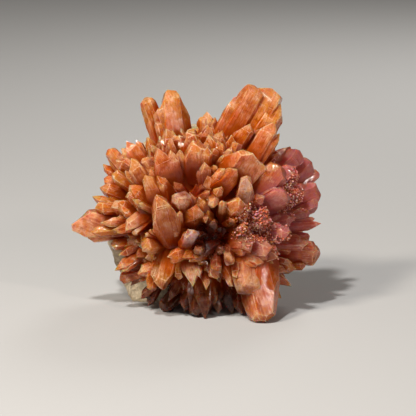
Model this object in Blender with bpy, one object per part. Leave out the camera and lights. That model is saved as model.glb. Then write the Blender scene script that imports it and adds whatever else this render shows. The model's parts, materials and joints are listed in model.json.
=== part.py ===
"""A cluster of creedite: orange blades that burst from one heart, grown on a lump of pale matrix rock.

The cluster rests on its lowest blades and on the flat underside of the matrix. It is modelled in metres, +Z up,
with the origin on the table under the middle of the cluster. Its display side faces -Y and leans back.
"""

import math
import random
from collections import namedtuple

import bmesh
import bpy
from mathutils import Euler, Matrix, Vector, noise

MM = 0.001

# ---- driving dimensions, in millimetres and degrees ---------------------------------------------------------

HEART = (1.05, -0.35, 14.1)  # the point that the blades burst from, above the table
LEAN = 12.0  # how far the display side leans back from upright
CORE_RADIUS = 9.8  # the intergrown middle, where single blades can't be told apart
CORE_FLATTENING = (1.03, 0.86, 1.0)  # across, deep, high
ROOT_DEPTH = 7.0  # a radial blade starts this far from the heart, inside the core
ROOT_SHARE = 0.80  # a blade's width at its root, as a share of its width at the tip
SEAM = 0.3  # the gap between the crystals and the matrix
TABLE_BOX = 60.0

# ---- the blades ---------------------------------------------------------------------------------------------
# tip and foot are (right, up, front) of the heart, seen from the display side. A blade with no foot is radial.
# turn rolls the blade about its own axis; at 0 its broad face looks to the front. end names a termination.

Blade = namedtuple("Blade", "tip width thickness turn end foot", defaults=(None,))

CROWN = [
    Blade((-8.6, 17.1, -2.0), 2.7, 1.9, 10, "blunt"),
    Blade((-5.0, 17.6, -1.5), 4.6, 2.8, -12, "tapered", (-2.4, 4.0, 0.0)),
    Blade((-6.6, 15.5, -0.4), 2.2, 1.7, 20, "blunt", (-3.2, 4.0, 0.6)),
    Blade((-5.5, 12.3, 4.0), 2.3, 1.8, 25, "chisel"),
    Blade((-8.3, 11.1, 1.0), 2.0, 1.6, 35, "point"),
    Blade((0.5, 15.0, -2.0), 2.6, 1.7, 5, "point"),
    Blade((1.8, 14.2, -1.2), 1.3, 1.0, 30, "point"),
    Blade((2.3, 12.8, -0.6), 1.5, 1.1, -20, "point"),
    Blade((0.8, 11.5, 5.0), 2.6, 2.1, 0, "point"),
    Blade((-2.2, 12.2, 2.2), 2.2, 1.5, 40, "slant"),
    Blade((8.3, 18.7, -1.4), 4.2, 2.6, 12, "round", (-0.6, 3.0, -1.0)),
    Blade((10.6, 17.9, -0.6), 3.4, 2.6, -24, "round", (1.6, 2.0, -0.4)),
    Blade((11.8, 14.9, -1.2), 2.0, 1.6, 30, "point", (3.0, 1.0, -1.0)),
    Blade((7.0, 13.1, 3.2), 2.4, 1.7, -10, "chisel", (-0.4, 1.5, 1.6)),
    Blade((10.6, 13.3, 2.4), 3.4, 2.4, -8, "chisel"),
    Blade((4.2, 11.4, 4.2), 1.7, 1.4, 15, "point"),
    Blade((5.0, 10.2, 6.2), 1.8, 1.4, 50, "blunt"),
]

LEFT_FLANK = [
    Blade((-11.6, 10.8, 0.6), 3.0, 1.7, 8, "spear"),
    Blade((-14.1, 9.3, 0.0), 2.2, 1.6, -18, "round"),
    Blade((-15.0, 7.2, -1.0), 1.8, 1.4, 30, "point"),
    Blade((-14.7, 5.1, -0.6), 1.9, 1.5, 0, "round"),
    Blade((-15.4, 3.6, 0.6), 2.4, 1.6, 20, "chisel"),
    Blade((-16.5, 2.3, 1.6), 2.2, 1.6, 30, "spear"),
    Blade((-19.8, -2.0, 2.0), 4.4, 4.0, 84, "leaf", (-5.0, -0.6, 1.0)),
    Blade((-15.6, -0.6, 4.0), 3.2, 2.4, 20, "slant", (-4.4, 0.4, 2.0)),
    Blade((-17.4, -3.6, 0.8), 2.0, 1.6, -20, "point"),
    Blade((-13.7, -4.9, 2.0), 1.7, 1.5, 10, "round"),
    Blade((-13.1, -8.7, 3.0), 1.9, 1.3, 25, "spear"),
    Blade((-12.3, -10.0, 1.8), 2.0, 1.6, -10, "round"),
    Blade((-12.8, 7.6, 3.2), 2.4, 1.6, -30, "chisel"),
    Blade((-13.2, 5.6, 3.4), 2.0, 1.6, 12, "blunt"),
    Blade((-12.6, 1.4, 6.0), 2.2, 1.4, 40, "chisel"),
]

FACE = [
    Blade((-10.6, 7.8, 6.0), 3.4, 2.0, -10, "chisel"),
    Blade((-6.5, 9.1, 7.6), 3.9, 2.2, 8, "wedge", (-4.4, 2.4, 4.8)),
    Blade((-1.6, 10.1, 8.4), 4.8, 2.4, -10, "slant", (-0.8, 3.6, 5.2)),
    Blade((-10.8, 3.9, 7.4), 2.6, 1.7, 20, "chisel"),
    Blade((-8.2, 5.0, 9.2), 2.6, 1.8, -35, "chisel"),
    Blade((-6.3, 2.0, 11.6), 3.9, 2.8, 6, "leaf", (-4.0, -5.0, 7.8)),
    Blade((-3.3, 1.9, 12.8), 2.8, 2.4, 20, "blunt"),
    Blade((-1.5, 0.8, 13.6), 3.2, 2.6, 25, "blunt"),
    Blade((-8.2, 1.2, 10.0), 1.3, 1.1, 20, "point"),
    Blade((-11.2, -2.5, 8.0), 2.0, 1.4, 0, "chisel"),
    Blade((-8.5, -3.3, 9.6), 1.7, 1.1, -25, "chisel"),
    Blade((-8.6, -5.1, 9.4), 1.9, 1.4, 10, "round"),
    Blade((-2.3, -4.5, 12.8), 2.0, 1.5, 15, "slant"),
    Blade((-0.5, -6.0, 11.4), 1.6, 1.3, 0, "round"),
    Blade((7.9, 7.7, 9.0), 5.0, 3.8, 30, "blunt", (1.6, 2.4, 4.0)),
    Blade((11.2, 6.4, 7.0), 4.6, 2.8, -16, "round", (4.2, 0.6, 5.0)),
    Blade((6.6, 5.2, 11.4), 3.4, 2.2, 6, "leaf", (5.0, -1.6, 7.2)),
    Blade((5.0, 6.2, 10.8), 3.3, 2.0, 24, "wedge", (-0.6, 0.8, 7.4)),
    Blade((2.4, 3.6, 12.6), 1.6, 1.3, 40, "point"),
    Blade((1.6, 0.9, 13.2), 1.8, 1.4, 0, "blunt"),
    Blade((9.0, 2.3, 10.0), 1.9, 1.5, 30, "point"),
    Blade((5.2, 1.6, 12.4), 3.2, 2.4, -20, "round"),
    Blade((12.2, 2.8, 7.6), 3.6, 2.8, 20, "round"),
    Blade((6.0, -2.4, 12.0), 1.6, 1.3, 12, "round"),
    Blade((4.3, -1.4, 12.4), 1.5, 1.2, 45, "point"),
    Blade((1.7, -2.6, 11.8), 2.2, 1.7, 20, "chisel"),
    Blade((2.6, -4.6, 11.4), 2.0, 1.6, -20, "point"),
    Blade((5.6, -4.7, 11.2), 2.2, 1.2, 4, "wedge"),
    Blade((-5.4, -2.0, 11.4), 1.8, 1.5, 30, "point"),
    Blade((-5.2, -6.6, 10.4), 1.9, 1.5, -10, "point"),
    Blade((-6.8, 5.4, 8.6), 1.8, 1.4, 30, "point"),
    Blade((-4.2, 4.4, 10.2), 1.5, 1.3, 15, "point"),
]

RIGHT_FLANK = [
    Blade((15.0, 8.9, -2.8), 4.0, 3.0, 10, "round"),
    Blade((16.3, 7.2, -3.6), 2.6, 2.2, 35, "round"),
    Blade((17.4, 5.9, -5.4), 2.0, 1.8, 0, "round"),
    Blade((17.4, 3.2, -3.0), 3.0, 2.4, 12, "round"),
    Blade((17.1, 1.3, -2.0), 2.2, 1.8, -14, "round"),
    Blade((12.6, 9.7, -0.8), 1.6, 1.2, 0, "spear"),
    Blade((11.4, 9.0, 1.6), 1.8, 1.4, 30, "point"),
    Blade((13.6, 6.2, 2.4), 3.2, 2.4, -22, "round"),
    Blade((14.6, 3.0, 4.2), 2.6, 1.5, 35, "chisel"),
    Blade((15.9, -0.2, 0.4), 1.6, 1.3, 10, "round"),
    Blade((17.7, -1.7, 0.2), 1.8, 0.9, 0, "spear"),
    Blade((15.9, -3.8, -0.8), 1.8, 1.5, 0, "round"),
    Blade((17.3, -6.6, -0.8), 3.8, 2.6, 24, "round"),
    Blade((15.6, -4.6, 2.4), 2.6, 1.6, -25, "chisel"),
    Blade((12.8, -3.0, 8.2), 2.6, 1.7, 12, "slant"),
    Blade((13.8, -0.8, 5.6), 2.2, 1.6, 30, "point"),
    Blade((11.0, -6.2, 8.0), 2.6, 2.0, 10, "round", (2.6, -3.6, 3.4)),
    Blade((8.9, -7.4, 8.6), 2.4, 1.7, -20, "chisel"),
    Blade((15.2, -8.1, 0.2), 1.3, 1.1, 0, "round"),
    Blade((13.8, -8.5, 2.2), 1.8, 1.4, 20, "chisel"),
    Blade((12.5, -8.9, 3.6), 1.7, 1.4, 0, "point"),
    Blade((9.6, 0.4, 9.8), 1.6, 1.3, 10, "point"),
    Blade((10.0, -1.4, 9.4), 1.7, 1.3, 40, "point"),
]

SKIRT = [
    Blade((8.9, -15.9, 6.6), 5.0, 4.2, 20, "round", (7.2, -4.4, 2.6)),
    Blade((5.8, -15.0, 5.2), 2.2, 1.9, -15, "chisel", (4.8, -4.6, 2.2)),
    Blade((13.2, -11.1, 2.2), 2.4, 1.8, 15, "spear"),
    Blade((11.6, -12.8, 3.6), 1.4, 1.2, 0, "point"),
    Blade((4.4, -15.3, 3.4), 2.6, 1.8, 8, "spear"),
    Blade((4.5, -10.8, 8.2), 1.6, 1.2, 20, "slant"),
    Blade((4.2, -7.4, 10.4), 1.6, 1.2, 0, "round"),
    Blade((2.1, -9.8, 8.6), 2.0, 1.5, -10, "chisel"),
    Blade((2.2, -15.0, 5.2), 1.6, 1.3, 30, "point"),
    Blade((0.3, -16.4, 8.6), 3.8, 2.6, 10, "spear", (0.0, -4.0, 3.0)),
    Blade((-1.8, -15.9, 7.6), 3.2, 2.2, -20, "spear", (-0.8, -4.0, 2.6)),
    Blade((-1.5, -10.9, 9.0), 2.6, 1.7, 14, "spear"),
    Blade((0.5, -11.5, 8.2), 1.5, 1.1, -14, "spear"),
    Blade((-6.3, -11.4, 8.2), 4.2, 2.2, 18, "slant", (-3.6, -5.6, 5.4)),
    Blade((-7.8, -11.5, 6.0), 1.8, 1.1, 30, "round"),
    Blade((-5.1, -13.2, 5.0), 1.8, 1.3, 0, "spear"),
    Blade((-6.0, -14.6, 2.0), 2.6, 2.0, 20, "blunt"),
    Blade((-9.2, -13.0, 1.2), 1.6, 1.2, 10, "point"),
    Blade((-9.6, -9.2, 5.0), 2.0, 1.5, 40, "point"),
    Blade((-2.8, -14.8, 4.0), 2.2, 1.6, 0, "point"),
    Blade((7.4, -11.4, 7.6), 2.0, 1.6, 20, "point"),
]

REAR = [
    Blade((-3.6, 15.2, -4.0), 2.0, 1.5, 20, "point"),
    Blade((5.4, 15.0, -4.4), 2.2, 1.6, -20, "chisel"),
    Blade((10.2, 12.0, -5.2), 2.4, 1.7, 0, "point"),
    Blade((13.2, 9.8, -6.2), 2.4, 1.8, 30, "chisel"),
    Blade((15.6, 4.6, -7.4), 2.6, 2.0, 10, "point"),
    Blade((16.0, 0.8, -6.2), 2.4, 1.8, -30, "chisel"),
    Blade((15.8, -3.6, -5.6), 2.2, 1.8, 20, "point"),
    Blade((14.2, -8.2, -4.6), 2.6, 1.9, 0, "chisel"),
    Blade((10.6, -12.0, -2.6), 2.4, 1.8, 20, "point"),
    Blade((-12.8, 8.4, -4.0), 2.4, 1.7, 10, "chisel"),
    Blade((-15.4, 3.8, -3.6), 2.2, 1.7, -10, "point"),
    Blade((-16.0, -0.6, -2.6), 2.2, 1.6, 20, "chisel"),
]

# A termination is a list of flat faces, each (lean, bearing, lift): how far the face's normal leans from the
# blade's axis, towards which side (0 is the width, 90 the thickness), and how far up the axis, in widths, it passes.
TERMINATIONS = {
    "point": [(57, 0, 0.0), (57, 180, 0.0), (48, 90, 0.0), (48, 270, 0.0)],
    "spear": [(66, 4, 0.0), (62, 176, 0.0), (58, 90, 0.12), (62, 270, 0.1)],
    "chisel": [(50, 0, 0.0), (38, 180, 0.0), (30, 90, 0.06), (26, 270, 0.1)],
    "wedge": [(52, 90, 0.0), (40, 270, 0.0), (16, 0, 0.02), (50, 180, 0.28)],
    "slant": [(34, 20, 0.0), (30, 200, 0.02), (58, 100, 0.3), (62, 280, 0.34)],
    "blunt": [(10, 35, 0.0), (46, 0, 0.26), (48, 180, 0.24), (44, 90, 0.2), (50, 270, 0.24)],
    "round": [
        (12, 20, 0.0),
        (38, 0, 0.12),
        (40, 180, 0.14),
        (64, 0, 0.5),
        (62, 180, 0.5),
        (46, 90, 0.16),
        (46, 270, 0.16),
    ],
    "leaf": [
        (44, 0, 0.0),
        (46, 180, 0.0),
        (68, 0, 0.34),
        (69, 180, 0.34),
        (80, 0, 1.5),
        (80, 180, 1.5),
        (56, 90, 0.04),
        (58, 270, 0.04),
    ],
    "tapered": [(76, 0, 0.8), (73, 180, 0.7), (14, 40, 0.0), (62, 90, 0.3), (62, 270, 0.3)],
}
END_JITTER = 5.0  # degrees that each termination face wanders from its pattern

# ---- the infill: short blades, set by rule, in the gaps between the ones above -------------------------------

INFILL_DIRECTIONS = 260  # even directions round the heart that are tried
INFILL_CLEARANCE = 8.5  # degrees to the nearest tip
INFILL_REACH = (11.4, 13.4)  # from the heart to the tip
INFILL_WIDTH = (2.0, 3.1)
INFILL_REARMOST = -0.30  # front component of the direction, below which the matrix is in the way
SHORTEST_REACH = 10.6
INFILL_ENDS = ("point", "chisel", "spear", "slant")

# ---- the matrix ---------------------------------------------------------------------------------------------

MATRIX_MIDDLE = (-2.6, -1.4, -8.4)  # (right, up, front) of the heart
MATRIX_HALF = (13.6, 15.4, 6.0)
MATRIX_SQUARENESS = 0.45  # 0 is a ball, 1 is a box
MATRIX_LUMPS = (1.5, 7.0)  # height, spacing
MATRIX_PITS = (0.5, 2.2)
MATRIX_BREAKS = [  # flat broken faces: (right, up, front) of the outward normal, and its distance from the heart
    ((-0.93, -0.37, 0.0), 15.0),
    ((-0.80, 0.58, 0.10), 12.6),
    ((-0.10, 0.99, 0.10), 12.5),
    ((0.66, 0.74, 0.12), 11.2),
    ((0.96, -0.06, 0.26), 6.8),
    ((0.70, -0.68, 0.20), 11.8),
    ((0.10, 0.04, 0.99), -2.6),
    ((0.45, 0.20, -0.87), 13.2),
    ((-0.30, 0.34, -0.89), 13.0),
    ((-0.25, -0.40, -0.88), 13.4),
]
SEED = 11

# ---- materials: colour as linear RGB, roughness --------------------------------------------------------------

CREEDITE = ("creedite", (0.55, 0.18, 0.06, 1.0), 0.35)
ROCK = ("matrix rock", (0.66, 0.58, 0.47, 1.0), 0.85)


def display_axes():
    """Right, up and front of the display side, as world directions."""
    lean = math.radians(LEAN)
    right = Vector((1, 0, 0))
    up = Vector((0, math.sin(lean), math.cos(lean)))
    front = Vector((0, -math.cos(lean), math.sin(lean)))
    return right, up, front


def turned(offset):
    """A (right, up, front) triple as a world vector of the same length."""
    right, up, front = display_axes()
    return offset[0] * right + offset[1] * up + offset[2] * front


def placed(offset):
    """The world point, in metres, that lies at this (right, up, front) of the heart, in millimetres."""
    return MM * (Vector(HEART) + turned(offset))


def collection(name, hidden=False):
    made = bpy.data.collections.new(name)
    made.hide_render = hidden
    bpy.context.scene.collection.children.link(made)
    return made


def object_from(bm, name, where, helper=False):
    """A new object that holds this bmesh, in the collection given."""
    bmesh.ops.recalc_face_normals(bm, faces=bm.faces)
    mesh = bpy.data.meshes.new(name)
    bm.to_mesh(mesh)
    bm.free()
    obj = bpy.data.objects.new(name, mesh)
    where.objects.link(obj)
    if helper:
        obj.hide_render = True
        obj.display_type = "WIRE"
    return obj


def slice_off(bm, point, normal):
    """Cuts away what lies on the normal's side of the plane, and closes the cut with one flat face."""
    everything = bm.verts[:] + bm.edges[:] + bm.faces[:]
    cut = bmesh.ops.bisect_plane(
        bm, geom=everything, dist=1e-7, plane_co=point, plane_no=normal, clear_outer=True
    )["geom_cut"]
    rim = [item for item in cut if isinstance(item, bmesh.types.BMEdge) and item.is_boundary]
    if rim:
        bmesh.ops.edgeloop_fill(bm, edges=rim)


def standing_frame(foot, tip, turn):
    """The matrix that stands a shape made along +Z on foot, pointing to tip, with its width across the view."""
    along = (tip - foot).normalized()
    across = along.cross(display_axes()[2])
    if across.length < 0.25:
        across = Vector((1, 0, 0)) - along * along.x
    across.normalize()
    frame = Matrix((across, along.cross(across), along)).transposed().to_4x4()
    frame.translation = foot
    return frame @ Matrix.Rotation(math.radians(turn), 4, "Z")


def blade_shape(blade, rng):
    """A flattened six-sided prism that widens from its root and ends in the faces of its termination."""
    tip = placed(blade.tip)
    if blade.foot is None:
        foot = placed(Vector(blade.tip).normalized() * ROOT_DEPTH)
    else:
        foot = placed(blade.foot)
    length = (tip - foot).length
    width = blade.width * MM
    overshoot = width
    spread = 1 + (1 - ROOT_SHARE) * overshoot / length
    bm = bmesh.new()
    bmesh.ops.create_cone(
        bm,
        cap_ends=True,
        segments=6,
        radius1=ROOT_SHARE * width / 2,
        radius2=spread * width / 2,
        depth=length + overshoot,
        matrix=Matrix.Translation((0, 0, (length + overshoot) / 2)),
    )
    bmesh.ops.rotate(bm, verts=bm.verts, matrix=Matrix.Rotation(math.radians(30), 3, "Z"))
    bmesh.ops.scale(bm, verts=bm.verts, vec=(1, blade.thickness / (blade.width * math.cos(math.radians(30))), 1))
    for lean, bearing, lift in TERMINATIONS[blade.end]:
        lean = math.radians(lean + rng.uniform(-END_JITTER, END_JITTER))
        bearing = math.radians(bearing + rng.uniform(-END_JITTER, END_JITTER))
        normal = Vector(
            (math.sin(lean) * math.cos(bearing), math.sin(lean) * math.sin(bearing), math.cos(lean))
        )
        slice_off(bm, Vector((0, 0, length + lift * width)), normal)
    bmesh.ops.transform(bm, verts=bm.verts, matrix=standing_frame(foot, tip, blade.turn))
    return bm


def even_directions(count):
    """Directions spread evenly over a sphere, from a golden-angle spiral."""
    golden = math.pi * (3 - math.sqrt(5))
    for i in range(count):
        height = 1 - 2 * (i + 0.5) / count
        ring = math.sqrt(1 - height * height)
        yield Vector((ring * math.cos(i * golden), ring * math.sin(i * golden), height))


def infill_blades(blades, rng):
    """Short blades in the directions that no listed tip is near, clear of the table."""
    taken = [Vector(blade.tip).normalized() for blade in blades]
    made = []
    for direction in even_directions(INFILL_DIRECTIONS):
        if direction.z < INFILL_REARMOST:
            continue
        if min(direction.angle(other) for other in taken) < math.radians(INFILL_CLEARANCE):
            continue
        reach = rng.uniform(*INFILL_REACH)
        fall = -turned(direction).z
        if fall > 0:
            reach = min(reach, (HEART[2] - 0.4) / fall)
        if reach < SHORTEST_REACH:
            continue
        width = rng.uniform(*INFILL_WIDTH)
        end = rng.choice(INFILL_ENDS)
        made.append(Blade(tuple(direction * reach), width, 0.72 * width, rng.uniform(-60, 60), end))
        taken.append(direction)
    return made


def core_shape():
    bm = bmesh.new()
    bmesh.ops.create_icosphere(bm, subdivisions=2, radius=CORE_RADIUS)
    across, deep, high = CORE_FLATTENING
    bmesh.ops.scale(bm, verts=bm.verts, vec=(across, high, deep))
    for vert in bm.verts:
        vert.co = placed(vert.co)
    return bm


def matrix_shape(grown=0.0):
    """A squarish lump with soft swellings and pits, a few flat breaks, and a flat underside on the table."""
    bm = bmesh.new()
    bmesh.ops.create_icosphere(bm, subdivisions=4, radius=1.0)
    half = Vector(MATRIX_HALF)
    middle = Vector(MATRIX_MIDDLE)
    for vert in bm.verts:
        ball = vert.co.normalized()
        box = ball / max(abs(c) for c in ball)
        spot = ball.lerp(box, MATRIX_SQUARENESS)
        spot = Vector((spot.x * half.x, spot.y * half.y, spot.z * half.z))
        lump = MATRIX_LUMPS[0] * noise.noise(spot / MATRIX_LUMPS[1] + Vector((3.1, 0.4, 7.7)))
        pit = MATRIX_PITS[0] * noise.noise(spot / MATRIX_PITS[1])
        vert.co = spot + ball * (lump + pit + grown)
        vert.co += middle
    for direction, distance in MATRIX_BREAKS:
        normal = Vector(direction).normalized()
        slice_off(bm, normal * (distance + grown), normal)
    for vert in bm.verts:
        vert.co = placed(vert.co)
    slice_off(bm, Vector((0, 0, -grown * MM)), Vector((0, 0, -1)))
    return bm


def table_cutter_shape():
    bm = bmesh.new()
    side = TABLE_BOX * MM
    bmesh.ops.create_cube(bm, size=side, matrix=Matrix.Translation((0, 0, -side / 2)))
    return bm


def material(name, colour, roughness):
    made = bpy.data.materials.new(name)
    made.use_nodes = True
    shader = made.node_tree.nodes["Principled BSDF"]
    shader.inputs["Base Color"].default_value = colour
    shader.inputs["Roughness"].default_value = roughness
    made.diffuse_color = colour
    return made


def add_boolean(obj, name, operation, other):
    """A Boolean with one object, or with every object of a collection."""
    modifier = obj.modifiers.new(name, "BOOLEAN")
    modifier.operation = operation
    modifier.solver = "EXACT"
    if isinstance(other, bpy.types.Collection):
        modifier.operand_type = "COLLECTION"
        modifier.collection = other
    else:
        modifier.object = other


def with_modifiers_applied(obj):
    """The object's evaluated mesh in place of its own, less the sealed pockets that roots leave between them."""
    graph = bpy.context.evaluated_depsgraph_get()
    mesh = bpy.data.meshes.new_from_object(obj.evaluated_get(graph))
    obj.modifiers.clear()
    obj.data = mesh
    bm = bmesh.new()
    bm.from_mesh(mesh)
    unseen = set(bm.faces)
    shells = []
    while unseen:
        shell = {unseen.pop()}
        front = list(shell)
        while front:
            near = {f for edge in front.pop().edges for f in edge.link_faces} & unseen
            unseen -= near
            shell |= near
            front += near
        shells.append(shell)
    shells.sort(key=len)
    bmesh.ops.delete(bm, geom=[face for shell in shells[:-1] for face in shell], context="FACES")
    bm.to_mesh(mesh)
    bm.free()


def main():
    for obj in list(bpy.data.objects):
        bpy.data.objects.remove(obj)
    cluster = collection("creedite_cluster")
    blades_only = collection("blades", hidden=True)
    cutters = collection("cutters", hidden=True)
    rng = random.Random(SEED)

    blades = CROWN + LEFT_FLANK + FACE + RIGHT_FLANK + SKIRT + REAR
    blades += infill_blades(blades, rng)
    for number, blade in enumerate(blades):
        object_from(blade_shape(blade, rng), f"blade_{number:03d}", blades_only, helper=True)

    crystals = object_from(core_shape(), "creedite_crystals", cluster)
    crystals.data.materials.append(material(*CREEDITE))
    clearance = object_from(matrix_shape(grown=SEAM), "matrix_clearance", cutters, helper=True)
    table = object_from(table_cutter_shape(), "below_the_table", cutters, helper=True)
    add_boolean(crystals, "grow blades", "UNION", blades_only)
    add_boolean(crystals, "clear the matrix", "DIFFERENCE", clearance)
    add_boolean(crystals, "flats on the table", "DIFFERENCE", table)
    with_modifiers_applied(crystals)

    matrix = object_from(matrix_shape(), "matrix", cluster)
    matrix.data.materials.append(material(*ROCK))


main()
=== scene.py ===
# %% [markdown]
# # A creedite cluster
# Creedite grows as flat, six-sided orange blades that burst from one heart. The blades are so close
# at their roots that they fuse, and only their outer ends stand free. This one sits on a lump of
# cream-white rock, its matrix. The lesson builds the burst as real crystals that are then joined in
# one closed skin. That is more work than scattering loose crystals, but light can pass through a
# single skin as it does through the real mineral, with no hidden walls inside.

# %% Load the fixed frame
import json
import math
import random
from collections import namedtuple

import bmesh
import bpy
from mathutils import Matrix, Vector, noise
from mathutils.bvhtree import BVHTree

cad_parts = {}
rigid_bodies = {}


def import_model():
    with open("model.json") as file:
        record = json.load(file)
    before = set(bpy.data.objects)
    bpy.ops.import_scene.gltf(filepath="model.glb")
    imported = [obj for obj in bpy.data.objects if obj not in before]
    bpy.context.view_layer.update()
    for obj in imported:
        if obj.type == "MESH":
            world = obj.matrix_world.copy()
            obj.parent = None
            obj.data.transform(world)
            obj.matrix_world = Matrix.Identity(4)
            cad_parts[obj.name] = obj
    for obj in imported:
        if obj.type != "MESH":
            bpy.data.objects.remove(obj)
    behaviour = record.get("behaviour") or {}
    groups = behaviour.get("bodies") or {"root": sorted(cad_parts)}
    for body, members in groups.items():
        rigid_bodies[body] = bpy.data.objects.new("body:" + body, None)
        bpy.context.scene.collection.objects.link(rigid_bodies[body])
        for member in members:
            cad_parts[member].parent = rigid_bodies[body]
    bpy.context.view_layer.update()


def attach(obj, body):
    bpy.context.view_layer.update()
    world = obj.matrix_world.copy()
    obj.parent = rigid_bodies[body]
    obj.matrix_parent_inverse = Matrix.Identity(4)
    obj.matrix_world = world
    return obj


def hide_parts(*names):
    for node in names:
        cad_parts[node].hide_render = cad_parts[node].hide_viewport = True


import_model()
MM = 0.001

# %% [markdown]
# ## Directions on the display side
# A specimen is set down so that its best side shows. Every blade is given as right, up and front of
# the heart, as that side is seen, which is far easier to read off than world X, Y and Z. One
# function turns such a triple into a place in the world.

# %% The heart and the display axes
HEART = Vector((1.05, -0.35, 14.1))  # mm above the table, where all the blades point back to
LEAN = math.radians(12.0)  # how far the display side leans back
RIGHT = Vector((1, 0, 0))
UP = Vector((0, math.sin(LEAN), math.cos(LEAN)))
FRONT = Vector((0, -math.cos(LEAN), math.sin(LEAN)))


def turned(offset):
    """A (right, up, front) triple as a world vector of the same length."""
    return offset[0] * RIGHT + offset[1] * UP + offset[2] * FRONT


def placed(offset):
    """The world point, in metres, at this (right, up, front) of the heart, in millimetres."""
    return MM * (HEART + turned(offset))


def as_seen(direction):
    """A world direction as a (right, up, front) vector."""
    return Vector((direction.dot(RIGHT), direction.dot(UP), direction.dot(FRONT)))


print("the heart is at", [round(c, 2) for c in HEART], "mm")

# %% [markdown]
# ## Colours
# Designers note colours as sRGB hex values, but shaders work in linear light. One small function
# turns one into the other. The body colours are the ones that single crystals of this cluster have:
# most are orange, some are honey or peach, a few are grey with trapped veils, and the right flank
# is dusted wine and plum. Umber is no body colour: it is painted shade on the lowest blades.

# %% Hex to linear, and the body colours
TINT_CODES = {
    "orange": "#DC7416",
    "honey": "#CE8A20",
    "amber": "#A8701E",
    "salmon": "#DE8250",
    "peach": "#E09248",
    "pale": "#E8B08A",
    "grey": "#D2B29E",
    "rust": "#B24E12",
    "tan": "#B4703C",
    "umber": "#5A2006",
    "wine": "#A8443A",
    "plum": "#CC7A7A",
    "rose": "#D28A88",
    "snow": "#F6E0E6",
}


def linear(code):
    """An sRGB hex colour as linear red, green and blue."""
    channels = [int(code[i : i + 2], 16) / 255 for i in (1, 3, 5)]
    return tuple(c / 12.92 if c <= 0.04045 else ((c + 0.055) / 1.055) ** 2.4 for c in channels)


TINTS = {name: linear(code) for name, code in TINT_CODES.items()}
print(len(TINTS), "body colours")

# %% [markdown]
# ## The blades, one by one
# A real cluster has no pattern that a rule could give: each blade has its own reach, width and
# broken or whole end. So the large ones are given as a list. Width and thickness are of the
# free end. A blade with no foot point lies back from near the focus of the display side, turn rolls
# it about its own length, and mates is the number of thinner crystals grown against it.

# %% The list of blades
FIELDS = "tip width thickness turn end tint foot mates"
Blade = namedtuple("Blade", FIELDS, defaults=("orange", None, None))

CROWN = [
    ((-8.7, 17.0, -2.0), 2.7, 1.8, 10, "dome", "amber", (-3.6, 3.0, -1.0), 0),
    ((-4.9, 17.7, -1.5), 5.0, 2.6, 12, "tapered", "honey", (-3.2, 4.0, 0.0), 0),
    ((-6.5, 15.4, -0.6), 2.2, 1.7, 10, "blunt", "tan", (-3.4, 4.0, 0.6), 1),
    ((-5.5, 12.3, 4.0), 2.3, 1.8, 25, "chisel", "tan"),
    ((-8.3, 11.1, 1.0), 2.0, 1.6, 35, "point"),
    ((0.5, 15.0, -2.0), 2.6, 1.7, 5, "petal", "honey"),
    ((1.8, 14.2, -1.2), 1.3, 1.0, 30, "point", "tan"),
    ((2.3, 12.8, -0.6), 1.5, 1.1, -20, "point", "tan"),
    ((0.8, 11.5, 5.0), 2.6, 2.1, 0, "point"),
    ((-2.2, 12.2, 2.2), 2.2, 1.5, 40, "slant"),
    ((8.1, 18.6, -0.8), 4.1, 2.6, 4, "dome", "tan", (-0.2, 3.6, -0.6), 1),
    ((10.7, 17.9, -1.6), 5.0, 3.2, -14, "dome", "honey", (1.9, 2.4, -1.2), 1),
    ((11.8, 14.9, -1.2), 2.0, 1.6, 30, "point", "rust", (3.0, 1.0, -1.0)),
    ((7.0, 13.1, 3.2), 2.4, 1.7, -10, "chisel", "orange", (-0.4, 1.5, 1.6)),
    ((10.6, 13.3, 2.4), 3.4, 2.4, -8, "chisel", "salmon"),
    ((4.2, 11.4, 4.2), 1.7, 1.4, 15, "point"),
    ((5.0, 10.2, 6.2), 1.8, 1.4, 50, "blunt"),
]

LEFT_FLANK = [
    ((-11.6, 10.8, 0.6), 3.0, 1.7, 8, "spear", "peach"),
    ((-14.1, 9.3, 0.0), 2.2, 1.6, -18, "round", "peach"),
    ((-15.0, 7.2, -1.0), 1.8, 1.4, 30, "point"),
    ((-14.7, 5.1, -0.6), 1.9, 1.5, 0, "round"),
    ((-15.4, 3.6, 0.6), 2.4, 1.6, 20, "chisel"),
    ((-16.5, 2.3, 1.6), 2.2, 1.6, 30, "spear", "honey"),
    ((-19.6, -2.2, 2.0), 4.2, 3.8, 84, "cut leaf", "pale", (-5.0, -0.6, 1.0), 0),
    ((-16.0, 0.5, 3.2), 1.9, 1.5, 10, "slant", "peach", (-6.0, -0.2, 3.4), 1),
    ((-15.2, -1.6, 4.4), 1.5, 1.2, -20, "spear", "orange", (-6.0, -1.2, 4.2), 1),
    ((-16.6, -3.0, 3.6), 1.5, 1.2, 20, "point", "honey", (-6.0, -1.8, 3.6), 1),
    ((-13.4, -2.6, 5.4), 1.4, 1.2, 0, "spear", "rust", (-6.0, -1.6, 5.0), 1),
    ((-13.6, 0.6, 5.0), 2.4, 1.8, 20, "slant", "orange", (-4.4, 0.4, 3.4)),
    ((-17.2, -3.9, 1.6), 1.6, 1.3, -20, "point", "honey", (-5.0, -2.6, 1.0), 1),
    ((-13.7, -4.9, 2.0), 1.7, 1.5, 10, "round"),
    ((-13.1, -8.7, 3.0), 1.9, 1.3, 25, "spear"),
    ((-12.3, -10.0, 1.8), 2.0, 1.6, -10, "round", "rust"),
    ((-12.8, 7.6, 3.2), 2.4, 1.6, -30, "chisel"),
    ((-13.2, 5.6, 3.4), 2.0, 1.6, 12, "blunt", "honey"),
    ((-12.6, 1.4, 6.0), 2.2, 1.4, 40, "chisel"),
]

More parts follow.
